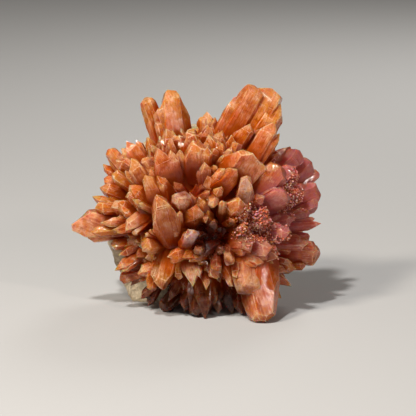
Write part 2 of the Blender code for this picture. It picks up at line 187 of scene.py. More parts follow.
FACE = [
    ((-10.6, 7.8, 7.2), 3.6, 2.0, -10, "petal", "peach", (-6.2, 1.6, 5.0)),
    ((-6.5, 9.1, 8.4), 4.0, 2.2, 8, "petal", "salmon", (-4.2, 2.0, 6.0)),
    ((-1.4, 10.2, 8.8), 4.8, 2.2, -14, "slant", "peach", (-1.2, 4.2, 6.4), 2),
    ((-10.8, 3.9, 8.0), 3.0, 1.7, 20, "petal", "orange", (-6.4, -0.2, 6.0)),
    ((-8.4, 5.2, 9.0), 3.4, 1.8, -20, "petal", "peach", (-5.6, -0.4, 6.4)),
    ((-6.5, 2.3, 12.2), 6.3, 3.0, 2, "oval", "peach", (-4.3, -5.0, 8.1), 0),
    ((-3.3, 2.3, 12.4), 3.0, 2.2, 10, "blunt", "grey", (-2.4, -1.6, 7.4), 0),
    ((-1.3, 0.7, 12.9), 3.2, 2.2, 25, "petal", "orange", (-1.0, -1.8, 7.0), 0),
    ((-3.4, 0.1, 12.5), 0.9, 0.6, 5, "point", "pale", (-3.0, -3.4, 8.0), 0),
    ((-10.3, 1.8, 8.8), 0.9, 0.7, 20, "point", "honey", (-6.0, -0.4, 7.0), 1),
    ((-9.4, 1.3, 9.4), 0.8, 0.6, -10, "point", "honey", (-5.6, -0.9, 7.2), 1),
    ((-11.4, -2.7, 8.0), 2.4, 1.4, 0, "chisel", "pale", (-7.0, 0.4, 6.0), 1),
    ((-8.5, -3.2, 9.6), 0.8, 0.6, -25, "chisel", "peach", (-5.4, -4.4, 6.4), 1),
    ((-7.9, -2.7, 9.9), 0.7, 0.6, 10, "chisel", "orange", (-5.2, -4.2, 6.6), 0),
    ((-7.3, -2.5, 10.3), 0.8, 0.6, -25, "chisel", "peach", (-5.0, -4.2, 6.8), 0),
    ((-8.6, -5.1, 9.8), 1.9, 1.5, 10, "round", "peach", (-5.6, -4.8, 6.0), 1),
    ((-1.3, -2.7, 12.4), 1.9, 1.3, 15, "slant", "snow", (-2.9, -5.6, 8.4), 1),
    ((-0.6, -5.9, 11.2), 1.6, 1.3, 0, "round", "rust", (-0.4, -3.6, 7.0)),
    ((7.9, 7.8, 9.4), 5.0, 3.4, 24, "wedge", "salmon", (2.4, 4.0, 4.6), 2),
    ((11.2, 6.6, 7.8), 4.2, 2.8, 0, "dome", "rust", (6.4, 0.6, 5.0), 1),
    ((6.3, 5.2, 11.6), 4.6, 2.6, 6, "oval", "grey", (5.1, -0.8, 7.8), 0),
    ((5.0, 6.2, 11.0), 3.2, 2.0, 24, "petal", "orange", (-0.8, 0.8, 7.4), 1),
    ((2.4, 3.5, 12.4), 1.5, 1.2, 40, "point", "peach", (1.6, 0.4, 7.5)),
    ((1.6, 0.8, 12.8), 1.7, 1.2, 20, "chisel", "pale", (1.2, 4.6, 7.0), 1),
    ((2.9, 1.6, 12.4), 1.4, 1.0, -15, "petal", "pale", (2.4, -1.8, 8.0), 0),
    ((0.4, -1.6, 11.8), 1.3, 1.0, -20, "point", "rust", (-0.6, 1.6, 8.0), 0),
    ((9.0, 2.3, 10.4), 1.7, 1.4, 30, "point", "orange", (5.4, 0.4, 6.5)),
    ((5.4, 1.7, 12.4), 3.2, 2.4, -20, "petal", "orange", (3.6, -1.2, 7.4), 0),
    ((12.2, 2.7, 8.2), 3.6, 2.8, 20, "dome", "wine", (7.0, 0.2, 4.5), 1),
    ((6.0, -2.4, 11.4), 1.5, 1.2, 12, "round", "wine", (3.8, -2.6, 7.0)),
    ((4.6, -1.2, 11.8), 1.3, 1.0, 45, "point", "rust", (3.0, -2.0, 7.4)),
    ((1.9, -8.5, 9.9), 1.7, 1.3, 20, "round", "wine", (1.6, -4.5, 7.0), 0),
    ((7.2, -4.6, 10.4), 3.0, 1.5, 4, "wedge", "wine", (3.4, -4.4, 7.0)),
    ((9.9, -5.2, 9.4), 3.2, 1.7, 8, "slant", "wine", (4.4, -4.8, 6.2), 1),
    ((-5.4, -2.0, 10.8), 1.8, 1.5, 30, "point"),
    ((-5.2, -6.6, 10.2), 1.9, 1.5, -10, "point"),
    ((-6.8, 5.4, 8.6), 1.8, 1.4, 30, "point"),
    ((-4.2, 4.4, 9.8), 1.5, 1.3, 15, "point"),
    ((5.0, -9.6, 9.4), 1.4, 1.0, 15, "slant", "pale", (4.6, -5.4, 6.4), 0),
]

RIGHT_FLANK = [
    ((14.6, 8.8, -1.8), 3.2, 3.0, 20, "dome", "plum"),
    ((16.3, 7.2, -3.6), 3.0, 2.4, 35, "dome", "plum"),
    ((17.4, 5.9, -5.4), 2.0, 1.8, 0, "round", "peach"),
    ((17.4, 3.2, -3.0), 3.4, 2.6, 12, "dome", "plum"),
    ((17.1, 1.3, -2.0), 2.2, 1.8, -14, "round", "plum"),
    ((12.6, 9.7, -0.8), 1.6, 1.2, 0, "spear", "wine"),
    ((11.4, 9.0, 1.6), 1.8, 1.4, 30, "point", "wine"),
    ((13.6, 6.2, 2.4), 3.2, 2.4, -22, "round", "plum"),
    ((14.6, 3.0, 4.2), 2.6, 1.5, 35, "chisel", "wine"),
    ((15.9, -0.2, 0.4), 1.6, 1.3, 10, "round", "wine"),
    ((17.7, -1.7, 0.2), 1.8, 0.9, 0, "spear", "wine"),
    ((15.9, -3.8, -0.8), 1.8, 1.5, 0, "round", "wine"),
    ((17.3, -6.6, -0.8), 3.8, 2.6, 24, "dome", "rust"),
    ((15.6, -4.6, 2.4), 2.6, 1.6, -25, "chisel", "wine"),
    ((12.7, -3.0, 8.4), 2.2, 1.6, 12, "slant", "wine", (7.0, -2.6, 5.0)),
    ((13.8, -0.8, 5.6), 2.2, 1.6, 30, "point", "wine"),
    ((11.0, -6.6, 8.4), 2.3, 1.8, 10, "petal", "rust", (5.2, -5.6, 5.0)),
    ((8.9, -7.4, 8.6), 2.4, 1.7, -20, "chisel"),
    ((15.2, -8.1, 0.2), 1.3, 1.1, 0, "round", "wine"),
    ((13.8, -8.5, 2.2), 1.8, 1.4, 20, "chisel", "rust"),
    ((12.5, -8.9, 3.6), 1.7, 1.4, 0, "point", "rust"),
    ((9.6, 0.4, 9.8), 1.6, 1.3, 10, "point", "wine"),
    ((10.0, -1.4, 9.4), 1.7, 1.3, 40, "point", "wine"),
]

# The umber blades of the skirt stand for painted shade underneath.
SKIRT = [
    ((8.7, -15.9, 8.6), 5.2, 5.4, 20, "club", "rust", (7.2, -4.4, 3.6), 0),
    ((7.0, -12.0, 9.0), 4.2, 2.8, -26, "dome", "pale", (6.4, -4.8, 5.2), 1),
    ((5.8, -15.0, 5.2), 2.2, 1.9, -15, "chisel", "umber", (4.8, -4.6, 2.2)),
    ((13.2, -11.1, 2.2), 2.4, 1.8, 15, "spear", "rust"),
    ((11.6, -12.8, 3.6), 1.4, 1.2, 0, "point", "wine"),
    ((4.4, -15.3, 3.4), 2.6, 1.8, 8, "spear", "umber"),
    ((4.5, -10.8, 8.2), 1.6, 1.2, 20, "slant", "rust"),
    ((4.0, -7.4, 10.6), 1.6, 1.2, 0, "round", "pale", (3.4, -4.5, 7.0), 0),
    ((2.1, -9.8, 8.6), 2.0, 1.5, -10, "chisel", "rust"),
    ((2.2, -15.0, 5.2), 1.6, 1.3, 30, "point", "umber"),
    ((0.3, -15.8, 6.4), 3.6, 2.4, 10, "spear", "umber", (0.0, -4.0, 3.0)),
    ((-1.8, -15.2, 5.2), 3.0, 2.0, -20, "spear", "umber", (-0.8, -4.0, 2.6)),
    ((-1.5, -10.9, 8.8), 2.6, 1.7, 14, "spear", "grey", (-2.0, -5.4, 6.4), 1),
    ((0.5, -11.5, 8.0), 1.5, 1.1, -14, "spear", "rust", (0.4, -6.0, 6.0)),
    ((-6.0, -11.3, 7.8), 3.4, 1.8, 8, "slant", "amber", (-4.4, -5.4, 6.4), 2),
    ((-7.8, -11.5, 6.4), 1.8, 1.1, 30, "round", "orange", (-6.0, -6.0, 5.0)),
    ((-5.1, -13.2, 5.0), 1.8, 1.3, 0, "spear", "umber"),
    ((-6.0, -14.6, 2.0), 2.6, 2.0, 20, "blunt", "umber"),
    ((-9.2, -13.0, 1.2), 1.6, 1.2, 10, "point"),
    ((-9.6, -9.2, 5.0), 2.0, 1.5, 40, "point"),
    ((-12.6, -6.4, 3.2), 1.8, 1.4, -20, "spear", "orange", (-5.0, -2.6, 2.6)),
    ((-10.8, -11.0, 1.4), 1.7, 1.3, 10, "spear", "rust", (-4.0, -4.6, 1.4)),
    ((-8.2, -14.0, 0.8), 1.6, 1.3, 20, "point", "umber", (-3.4, -5.0, 1.0)),
    ((-2.8, -14.8, 4.0), 2.2, 1.6, 0, "point", "umber"),
    ((7.4, -11.4, 7.6), 2.0, 1.6, 20, "point"),
]

REAR = [
    ((-3.6, 15.2, -4.0), 2.0, 1.5, 20, "point"),
    ((5.4, 15.0, -4.4), 2.2, 1.6, -20, "chisel", "salmon"),
    ((10.2, 12.0, -5.2), 2.4, 1.7, 0, "point", "salmon"),
    ((13.2, 9.8, -6.2), 2.4, 1.8, 30, "chisel", "wine"),
    ((15.6, 4.6, -7.4), 2.6, 2.0, 10, "point", "plum"),
    ((16.0, 0.8, -6.2), 2.4, 1.8, -30, "chisel", "wine"),
    ((15.8, -3.6, -5.6), 2.2, 1.8, 20, "point", "rust"),
    ((14.2, -8.2, -4.6), 2.6, 1.9, 0, "chisel", "rust"),
    ((10.6, -12.0, -2.6), 2.4, 1.8, 20, "point"),
    ((-12.8, 8.4, -4.0), 2.4, 1.7, 10, "chisel", "peach"),
    ((-15.4, 3.8, -3.6), 2.2, 1.7, -10, "point"),
    ((-16.0, -0.6, -2.6), 2.2, 1.6, 20, "chisel"),
]
ROWS = CROWN + LEFT_FLANK + FACE + RIGHT_FLANK + SKIRT + REAR
print(len(ROWS), "blades in the list")

# %% [markdown]
# ## Short blades between the long ones
# The gaps between the listed blades are filled by a rule: even directions on a golden-angle spiral,
# less those that a listed tip already takes. On the display side the blades don't point straight
# back to the heart. They lean away from a focus a little below it, so their flat sides show, and
# four recesses are left short or free of blades. A seeded random generator gives each blade its own
# reach, width and end, and the same ones every time the script runs.

# %% Infill by rule
SEED = 11
FOCUS = (0.2, -4.2)  # right and up of the heart, mm: the blades of the display side lean away from it
FOCUS_SPREAD = (2.0, 1.6)  # mm
FREE_LENGTH = 6.5  # mm of a blade that can stand free of the mass
LEAST_LENGTH = 6.0  # mm
BROAD = 2.3  # mm of width from which a blade keeps the room round it
INFILL_DIRECTIONS = 620
INFILL_CLEARANCE = math.radians(5.4)  # to the nearest tip
INFILL_REARMOST = -0.30  # front component of the direction, below which the matrix is in the way
INFILL_REACH = (11.0, 13.2)  # mm from the heart
LEAST_REACH = 9.0  # mm
STEEP = 0.72  # up or down component of a direction from which the colours are darker; downward, that is painted shade
HOLLOWS = [  # right, up, front of the middle of a recess, and how wide it is in degrees
    (Vector((-2.0, 4.4, 10.0)), 8.0),
    (Vector((1.6, -4.0, 10.5)), 17.0),
    (Vector((-1.0, -8.5, 7.0)), 8.0),
    (Vector((8.5, -3.0, 7.0)), 7.0),
]


def hollowness(direction):
    """How deep in a recess a (right, up, front) direction points: 1 in its middle, 0 outside."""
    depths = [1 - math.degrees(direction.angle(middle)) / (1.5 * wide) for middle, wide in HOLLOWS]
    return max(0.0, *depths)


def with_foot(blade, rng):
    """The blade with its foot set. It lies back from near a focus below the heart."""
    if blade.foot:
        return blade
    tip = Vector(blade.tip)
    focus = [middle + rng.gauss(0, spread) for middle, spread in zip(FOCUS, FOCUS_SPREAD)]
    share = rng.uniform(0.2, 0.55) if tip.z > 0 else 1
    axis = Vector((tip.x - focus[0], tip.y - focus[1], tip.z * share)).normalized()
    return blade._replace(foot=tuple(tip - axis * max(LEAST_LENGTH, tip.length - FREE_LENGTH)))


def covered(spot, blades, share):
    """Whether a (right, up, front) point is within this share of a broad blade's width of it."""
    for blade in blades:
        if blade.width < BROAD:
            continue
        tip, foot = Vector(blade.tip), Vector(blade.foot)
        back = (foot - tip).normalized()
        down = min(max((spot - tip).dot(back), 0.0), LEAST_LENGTH)
        if (spot - tip - back * down).length < share * blade.width:
            return True
    return False


def even_directions(count):
    """Directions spread evenly over a sphere, from a golden-angle spiral."""
    golden = math.pi * (3 - math.sqrt(5))
    for i in range(count):
        height = 1 - 2 * (i + 0.5) / count
        ring = math.sqrt(1 - height * height)
        yield Vector((ring * math.cos(i * golden), ring * math.sin(i * golden), height))


def infill_blades(blades, rng):
    """Short blades in the directions that no listed tip is near, clear of the table."""
    taken = [Vector(blade.tip).normalized() for blade in blades]
    made = []
    for direction in even_directions(INFILL_DIRECTIONS):
        if direction.z < INFILL_REARMOST:
            continue
        if min(direction.angle(other) for other in taken) < INFILL_CLEARANCE:
            continue
        hollow = hollowness(direction)
        reach = rng.uniform(*INFILL_REACH) - 3.0 * hollow
        fall = -turned(direction).z
        if fall > 0:
            reach = min(reach, (HEART[2] - 0.4) / fall)
        if reach < LEAST_REACH or hollow > 0.7 or covered(direction * reach, blades, 0.62):
            continue
        width = rng.uniform(1.6, 3.3)
        thickness = rng.uniform(0.42, 0.66) * width
        end = rng.choice(("point", "chisel", "spear", "petal", "petal", "tapered"))
        tint = rng.choice(("orange", "orange", "rust", "salmon", "peach", "honey"))
        if direction.y > STEEP:
            tint = rng.choice(("tan", "tan", "rust"))
        # Blades that point down get umber: painted shade underneath.
        if direction.y < -STEEP:
            tint = rng.choice(("umber", "umber", "rust"))
        spare = Blade(tuple(direction * reach), width, thickness, rng.uniform(-35, 35), end, tint)
        made.append(with_foot(spare, rng))
        taken.append(direction)
    return made


rng = random.Random(SEED)
listed = [with_foot(Blade(*row), rng) for row in ROWS]
infill = infill_blades(listed, rng)
print(len(listed), "listed blades and", len(infill), "by rule")

# %% [markdown]
# ## One crystal
# A crystal starts as a six-sided prism that widens from its root. Its ends are natural faces, so
# they are cut with planes, as a gem cutter would do it: each plane leans so far from the length and
# faces so far round it. Every edge is then bevelled a little, because real edges are chipped and
# frosted, and that is where they catch the light. Three values are stored on the mesh for the
# material: frost and highlight on the bevels, which it paints pale as frost and as a painted highlight,
# across for growth lines that run along the blade, and along, which is 0 where the crystal leaves the
# mass and 1 at its tip. An oval crystal stands clear of its neighbours from its foot on, so there along
# is 0 at the foot.

# %% The ends that a crystal can have, as planes: lean, bearing, lift in widths
def paired(*steps):
    """Each (lean, lift) on both flat sides."""
    return [(lean, bearing, lift) for lean, lift in steps for bearing in (0, 180)]


def around(lean, lift, first):
    """One lean and lift on six sides."""
    return [(lean, bearing, lift) for bearing in range(first, first + 360, 60)]


TERMINATIONS = {
    "point": [(60, 0, 0.0), (57, 180, 0.0), (68, 90, 0.15), (66, 270, 0.12)],
    "spear": [(70, 4, 0.0), (66, 176, 0.0), (70, 90, 0.2), (70, 270, 0.16)],
    "chisel": [(42, 0, 0.0), (62, 180, 0.02), (66, 90, 0.15), (62, 270, 0.14)],
    "wedge": [(68, 90, 0.06), (64, 270, 0.04), (12, 0, 0.0), (50, 180, 0.3), (58, 0, 0.6)],
    "slant": [(28, 15, 0.0), (64, 195, 0.06), (64, 90, 0.24), (66, 270, 0.26)],
    "blunt": [(10, 35, 0.0), (46, 0, 0.28), (48, 180, 0.26), (64, 90, 0.5), (60, 270, 0.5)],
    "round": [
        (12, 20, 0.0), (38, 0, 0.1), (40, 180, 0.1),
        (64, 0, 0.56), (62, 180, 0.56), (56, 90, 0.3), (56, 270, 0.3),
    ],
    "dome": [
        (8, 20, 0.0), *paired((30, 0.08), (51, 0.33), (70, 0.95)),
        (36, 90, 0.06), (36, 270, 0.06), (60, 90, 0.28), (60, 270, 0.28), (76, 270, 1.0),
    ],
    "oval": [
        *paired((43, 0), (60, 0.12), (70, 0.4), (79, 1.25)),
        (58, 90, 0.14), (60, 270, 0.16), (76, 270, 0.7),
    ],
    "club": [(8, 20, 0.0), *around(32, 0.08, 0), *around(56, 0.39, 30), *around(75, 1.3, 0)],
    "petal": [*paired((46, 0), (64, 0.2), (77, 0.9)), (64, 90, 0.12), (66, 270, 0.14)],
    "cut leaf": [
        (12, 12, -0.06), (48, 0, 0.05), (46, 180, 0.02), (72, 0, 0.30), (73, 180, 0.26),
        (80, 0, 1.5), (81, 180, 1.4), (56, 90, 0.10), (60, 270, 0.12),
    ],
    "tapered": [
        (70, 0, 0.42), (72, 180, 0.42), (20, 40, 0.0), (50, 180, 0.2), (68, 90, 0.3), (68, 270, 0.3),
    ],
}
print(len(TERMINATIONS), "kinds of end")


# %% Cut, bevel and label one crystal
END_JITTER = math.radians(5.0)  # of a plane's lean and bearing
LIFT_JITTER = 0.08  # in widths
ROOT_SHARE = 0.80  # the width at the root, as a share of the width at the tip
THREE_CUTS = 2.2  # mm of width from which a crystal is cut three times along its length
FLUTED, WAVY, CHIPPED = 0.18, 0.08, 0.07  # relief: shares of the width, and mm for the chips
CHIP_SIZE = 0.55  # mm


def sliced(bm, point, normal, clear=False):
    """Cuts the whole mesh with a plane, and returns what lies on the cut."""
    everything = bm.verts[:] + bm.edges[:] + bm.faces[:]
    settings = {"dist": 1e-7, "plane_co": point, "plane_no": normal, "clear_outer": clear}
    return bmesh.ops.bisect_plane(bm, geom=everything, **settings)["geom_cut"]


def slice_off(bm, point, normal):
    """Cuts away what lies on the normal's side of the plane, and closes the cut with one flat face."""
    cut = sliced(bm, point, normal, clear=True)
    rim = [item for item in cut if isinstance(item, bmesh.types.BMEdge) and item.is_boundary]
    if rim:
        bmesh.ops.edgeloop_fill(bm, edges=rim)


def leaning(lean, bearing):
    """The unit vector that leans so far from +Z, towards this bearing."""
    ring = math.sin(lean)
    return Vector((ring * math.cos(bearing), ring * math.sin(bearing), math.cos(lean)))


def rough_prism(length, width, thickness, rng):
    """A bmesh of an uneven six-sided prism on +Z."""
    half, deep = width / 2, thickness / 2

    def corner():
        return rng.uniform(0.35, 0.8) * half

    def edge():
        return rng.uniform(-0.3, 0.3) * deep

    outline = [(half, edge()), (corner(), deep), (-corner(), deep)]
    outline += [(-half, edge()), (-corner(), -deep), (corner(), -deep)]
    bm = bmesh.new()
    base = bm.faces.new([bm.verts.new((x, y, 0)) for x, y in outline])
    risen = bmesh.ops.extrude_face_region(bm, geom=[base])["geom"]
    risen = [item for item in risen if isinstance(item, bmesh.types.BMVert)]
    bmesh.ops.translate(bm, verts=risen, vec=(0, 0, length + width))
    return bm


def bevelled(bm, offset):
    """Bevels every edge, and marks the bevels as frost and painted highlight."""
    frost_and_highlight = bm.faces.layers.float.new("frost_and_highlight")
    if offset:
        settings = {"segments": 1, "profile": 0.5, "affect": "EDGES", "clamp_overlap": True}
        for face in bmesh.ops.bevel(bm, geom=bm.edges[:], offset=offset, **settings)["faces"]:
            face[frost_and_highlight] = 1.0


def upright_crystal(
    length, width, thickness, end, rng, free=0.5, worn=0.035, step=0.6, flare=1.2, root=ROOT_SHARE
):
    """A bmesh of one crystal on +Z, in metres but for step, in mm. free is its free share."""
    bm = rough_prism(length, width, thickness, rng)
    for lean, bearing, lift in TERMINATIONS[end]:
        lean, bearing = (math.radians(a) + rng.uniform(-END_JITTER, END_JITTER) for a in (lean, bearing))
        height = length + (lift + rng.uniform(0, LIFT_JITTER)) * width
        slice_off(bm, Vector((0, 0, height)), leaning(lean, bearing))
    bevelled(bm, worn * width)
    bed = (1 - free) * length
    if step:
        count = int((length - bed) / (step * MM))
        for number in range(count + 1):
            sliced(bm, (0, 0, bed + (length - bed) * number / max(1, count)), (0, 0, 1))
        for share in (-0.5, 0.0, 0.5) if width > THREE_CUTS * MM else (0.0,):
            sliced(bm, (share * width / 2, 0, 0), (1, 0, 0))
    shift = Vector([rng.uniform(0, 90) for _ in range(3)])
    for vert in bm.verts:
        spot = vert.co.copy()
        rise = (spot.z - bed) / (length - bed)
        if rise < 0:
            swell = root + (flare - root) * spot.z / bed
        else:
            swell = flare + (1 - flare) * min(1, rise) ** 0.8
        flutes = noise.noise(Vector((1.5 * spot.x, 1.5 * spot.y, 0.22 * spot.z)) / width + shift)
        waves = noise.noise(Vector((2.2 * spot.x, 2.2 * spot.y, 1.3 * spot.z)) / width - shift)
        chips = noise.noise(spot / (CHIP_SIZE * MM) + shift) * CHIPPED * MM / width if step else 0
        swell *= 1 + FLUTED * flutes + WAVY * waves + chips
        vert.co.x *= swell
        vert.co.y *= swell
        if rise > 0.5:
            vert.co.z += WAVY * width * waves
    shown = length if end == "oval" else free * length
    along = bm.loops.layers.float.new("along")
    across = bm.loops.layers.float.new("across")
    for loop in (loop for face in bm.faces for loop in face.loops):
        spot = loop.vert.co
        loop[along] = 1 - (length - spot.z) / shown
        loop[across] = (spot.x + 0.4 * spot.y) / MM + shift.x
    bmesh.ops.recalc_face_normals(bm, faces=bm.faces)
    return bm


sample = upright_crystal(9 * MM, 3 * MM, 2 * MM, "round", random.Random(1))
print("one crystal has", len(sample.faces), "faces")
sample.free()

# %% [markdown]
# ## Composite blades
# Look at one large creedite blade and it turns out to be a bundle: a leader with two or three
# thinner ones grown flat against it, a degree or two out of line, each ending a little lower. So
# each blade of the list is built as a leader and its companions.

# %% A blade as a bundle
Crystal = namedtuple("Crystal", "foot tip width thickness turn end tint")
MATE_WIDTHS = (1.9, 2.9, 4.2)  # mm: the widths from which a blade has one more companion
MATE_ENDS = ("point", "chisel", "petal", "spear", "petal", "round")


def standing_frame(foot, tip, turn):
    """The matrix that stands a +Z shape on foot, pointing to tip, its width across the view."""
    axis = (tip - foot).normalized()
    side = axis.cross(FRONT)
    if side.length < 0.25:
        side = Vector((1, 0, 0)) - axis * axis.x
    side.normalize()
    stand = Matrix((side, axis.cross(side), axis)).transposed().to_4x4()
    stand.translation = foot
    return stand @ Matrix.Rotation(math.radians(turn), 4, "Z")


def bundle(blade, rng):
    """The leader of a blade, and companions that lie against its sides, splayed a little."""
    tip, foot = placed(blade.tip), placed(blade.foot)
    width, thickness = blade.width * MM, blade.thickness * MM
    members = [Crystal(foot, tip, width, thickness, blade.turn, blade.end, blade.tint)]
    stand = standing_frame(foot, tip, blade.turn).to_3x3()
    length = (tip - foot).length
    count = blade.mates
    if count is None:
        count = 1 + sum(blade.width > limit for limit in MATE_WIDTHS)
    bearing = rng.choice((0.0, math.pi))
    for _ in range(count):
        share = rng.uniform(0.40, 0.70)
        bearing = (math.pi - bearing + rng.uniform(-0.5, 0.5)) % (2 * math.pi)
        outward = Vector((math.cos(bearing) * width / 2, math.sin(bearing) * thickness / 2, 0))
        drop = rng.uniform(0.06, 0.34) * length
        splay = 1.15 - 0.8 * share + 1.2 * drop / length
        mate_foot = foot + stand @ (0.5 * outward)
        mate_tip = tip + stand @ (splay * outward - Vector((0, 0, drop)))
        thin, turn = rng.uniform(0.55, 0.85) * thickness, blade.turn + rng.uniform(-14, 14)
        end = rng.choice(MATE_ENDS)
        members.append(Crystal(mate_foot, mate_tip, share * width, thin, turn, end, blade.tint))
    return members


crystals = [member for blade in listed + infill for member in bundle(blade, rng)]
print(len(crystals), "crystals in", len(listed) + len(infill), "blades")

# %% [markdown]
# ## From shapes to objects
# Each crystal becomes an object of its own for now, in a collection that is thrown away later. Its
# body colour goes on its faces as an attribute, which the union keeps.

# %% Make the crystals
CORE = Vector((10.4, 10.1, 9.2))  # right, up and front half sizes of the fused mass, mm
CLUB_SWELL = 1.22  # how much broader than its stem a club-shaped crystal is
CLUB_NECK = 0.78  # how narrow it is where it leaves the mass
OVAL_FLARE, OVAL_ROOT = 0.85, 0.35  # an oval crystal is narrow there, and more so at its foot


def core_radius(direction):
    """How far from the heart the fused mass reaches, in millimetres, in a world direction."""
    local = as_seen(direction).normalized()
    return 1 / math.sqrt(sum((c / half) ** 2 for c, half in zip(local, CORE)))


def paint_faces(mesh, name, colour):
    """Stores one colour on every face."""
    layer = mesh.attributes.new(name, "FLOAT_COLOR", "FACE")
    layer.data.foreach_set("color", list((*colour, 1.0)) * len(mesh.polygons))


def new_object(bm, name, where):
    """An object in the collection, made of the bmesh, which is freed."""
    mesh = bpy.data.meshes.new(name)
    bm.to_mesh(mesh)
    bm.free()
    obj = bpy.data.objects.new(name, mesh)
    where.objects.link(obj)
    return obj


def new_collection(name):
    """An empty collection in the scene."""
    made = bpy.data.collections.new(name)
    bpy.context.scene.collection.children.link(made)
    return made


def varied(colour, rng):
    """The colour, a little lighter or darker and warmer or cooler."""
    value, warmth = rng.uniform(0.84, 1.14), rng.uniform(-0.06, 0.06)
    return (colour[0] * value * (1 + warmth), colour[1] * value, colour[2] * value * (1 - warmth))


def habit(crystal, rng):
    """How wide the crystal is where it leaves the mass and at its root, in widths of its tip."""
    if crystal.end == "oval":
        return {"flare": OVAL_FLARE, "root": OVAL_ROOT}
    return {"flare": rng.uniform(1.05, 1.4) * (CLUB_NECK if crystal.end == "club" else 1)}


blade_objects = new_collection("loose blades")
heart = HEART * MM
for number, crystal in enumerate(crystals):
    length = (crystal.tip - crystal.foot).length
    width = crystal.width * (CLUB_SWELL if crystal.end == "club" else 1)
    ray = crystal.tip - heart
    free = max(0.3, min(1, (ray.length - core_radius(ray) * MM) / length))
    bm = upright_crystal(
        length, width, crystal.thickness, crystal.end, rng, free=free, **habit(crystal, rng)
    )
    stand = standing_frame(crystal.foot, crystal.tip, crystal.turn)
    bmesh.ops.transform(bm, verts=bm.verts, matrix=stand)
    obj = new_object(bm, f"crystal {number}", blade_objects)
    paint_faces(obj.data, "tint", varied(TINTS[crystal.tint], rng))

# %% [markdown]
# ## The matrix
# The matrix is the rock that the burst grew on. It started as a squarish lump, with soft swellings,
# pits and a few flat breaks. The same steps as in the solid model give its form. A copy of it,
# grown a little, is taken away from the burst later, so that the two don't touch.

# %% Matrix form
MATRIX_MIDDLE = Vector((-2.6, -1.4, -8.4))  # (right, up, front) of the heart, mm
MATRIX_HALF = Vector((13.6, 15.4, 6.0))
MATRIX_SQUARE = 0.45  # between a ball, 0, and a cube, 1
MATRIX_CLEARANCE = 0.15  # mm
MATRIX_BREAKS = [  # (right, up, front) of the outward normal, and its distance from the heart in mm
    ((-0.93, -0.37, 0.0), 15.0),
    ((-0.80, 0.58, 0.10), 12.6),
    ((-0.10, 0.99, 0.10), 12.5),
    ((0.66, 0.74, 0.12), 11.2),
    ((0.96, -0.06, 0.26), 6.8),
    ((0.70, -0.68, 0.20), 11.8),
    ((0.10, 0.04, 0.99), -2.6),
    ((0.45, 0.20, -0.87), 13.2),
    ((-0.30, 0.34, -0.89), 13.0),
    ((-0.25, -0.40, -0.88), 13.4),
]


def matrix_shape(grown=0.0):
    """A squarish lump with swellings, pits and flat breaks, and a flat underside on the table."""
    bm = bmesh.new()
    bmesh.ops.create_icosphere(bm, subdivisions=4, radius=1.0)
    for vert in bm.verts:
        ball = vert.co.normalized()
        spot = ball.lerp(ball / max(abs(c) for c in ball), MATRIX_SQUARE) * MATRIX_HALF
        lump = 1.5 * noise.noise(spot / 7.0 + Vector((3.1, 0.4, 7.7)))
        pit = 0.5 * noise.noise(spot / 2.2)
        vert.co = spot + ball * (lump + pit + grown) + MATRIX_MIDDLE
    for direction, distance in MATRIX_BREAKS:
        normal = Vector(direction).normalized()
        slice_off(bm, normal * (distance + grown), normal)
    for vert in bm.verts:
        vert.co = placed(vert.co)
    slice_off(bm, Vector((0, 0, -grown * MM)), Vector((0, 0, -1)))
    bmesh.ops.recalc_face_normals(bm, faces=bm.faces)
    return bm


helpers = new_collection("helpers")
clearance = new_object(matrix_shape(grown=MATRIX_CLEARANCE), "matrix clearance", helpers)
table_box = bmesh.new()
bmesh.ops.create_cube(table_box, size=60 * MM, matrix=Matrix.Translation((0, 0, -30 * MM)))
new_object(table_box, "below the table", helpers)
print("matrix form has", len(clearance.data.polygons), "faces")

# %% [markdown]
# ## Materials, with one helper
# Every shader below is a handful of nodes. One small function adds a node, sets its sockets and
# makes its links, so that each material reads as a recipe.


# %% One function adds a node
def add(tree, kind, inputs=None, **settings):
    """A new node. settings are its own properties. An input is a value or a socket to link from."""
    node = tree.nodes.new(kind)
    for name, value in settings.items():
        setattr(node, name, value)
    for name, value in (inputs or {}).items():
        socket = node.inputs[name]
        if isinstance(value, bpy.types.NodeSocket):
            tree.links.new(value, socket)
        else:
            socket.default_value = value
    return node


def result(tree, kind, inputs=None, **settings):
    """The first output of a new node."""
    return add(tree, kind, inputs, **settings).outputs[0]


def new_material(name, viewport):
    """An empty node material, its tree, and the colour that a viewport without nodes shows."""
    made = bpy.data.materials.new(name)
    made.use_nodes = True
    made.node_tree.nodes.clear()
    made.diffuse_color = (*viewport, 1.0)
    return made, made.node_tree


def mixed(tree, share, first, second):
    """A colour between two, by share."""
    pair = [c if isinstance(c, bpy.types.NodeSocket) else (*c, 1.0) for c in (first, second)]
    return add(tree, "ShaderNodeMix", {0: share, 6: pair[0], 7: pair[1]}, data_type="RGBA").outputs[2]


def figured(tree, operation, *values):
    """The result of a Math node."""
    return result(tree, "ShaderNodeMath", dict(enumerate(values)), operation=operation)


def vectors(tree, operation, inputs):
    """The result of a Vector Math node that gives a vector."""
    return result(tree, "ShaderNodeVectorMath", inputs, operation=operation)


def ranged(tree, value, low, high, out_low=0.0, out_high=1.0):
    """The value, taken smoothly from one range to another and held inside it."""
    inputs = {"Value": value, "From Min": low, "From Max": high, "To Min": out_low, "To Max": out_high}
    return result(tree, "ShaderNodeMapRange", inputs, interpolation_type="SMOOTHSTEP")


def clouded(tree, place, scale, detail):
    """Noise at a place, at so many lumps to the unit."""
    return result(tree, "ShaderNodeTexNoise", {"Vector": place, "Scale": scale, "Detail": detail})


print("helpers ready")
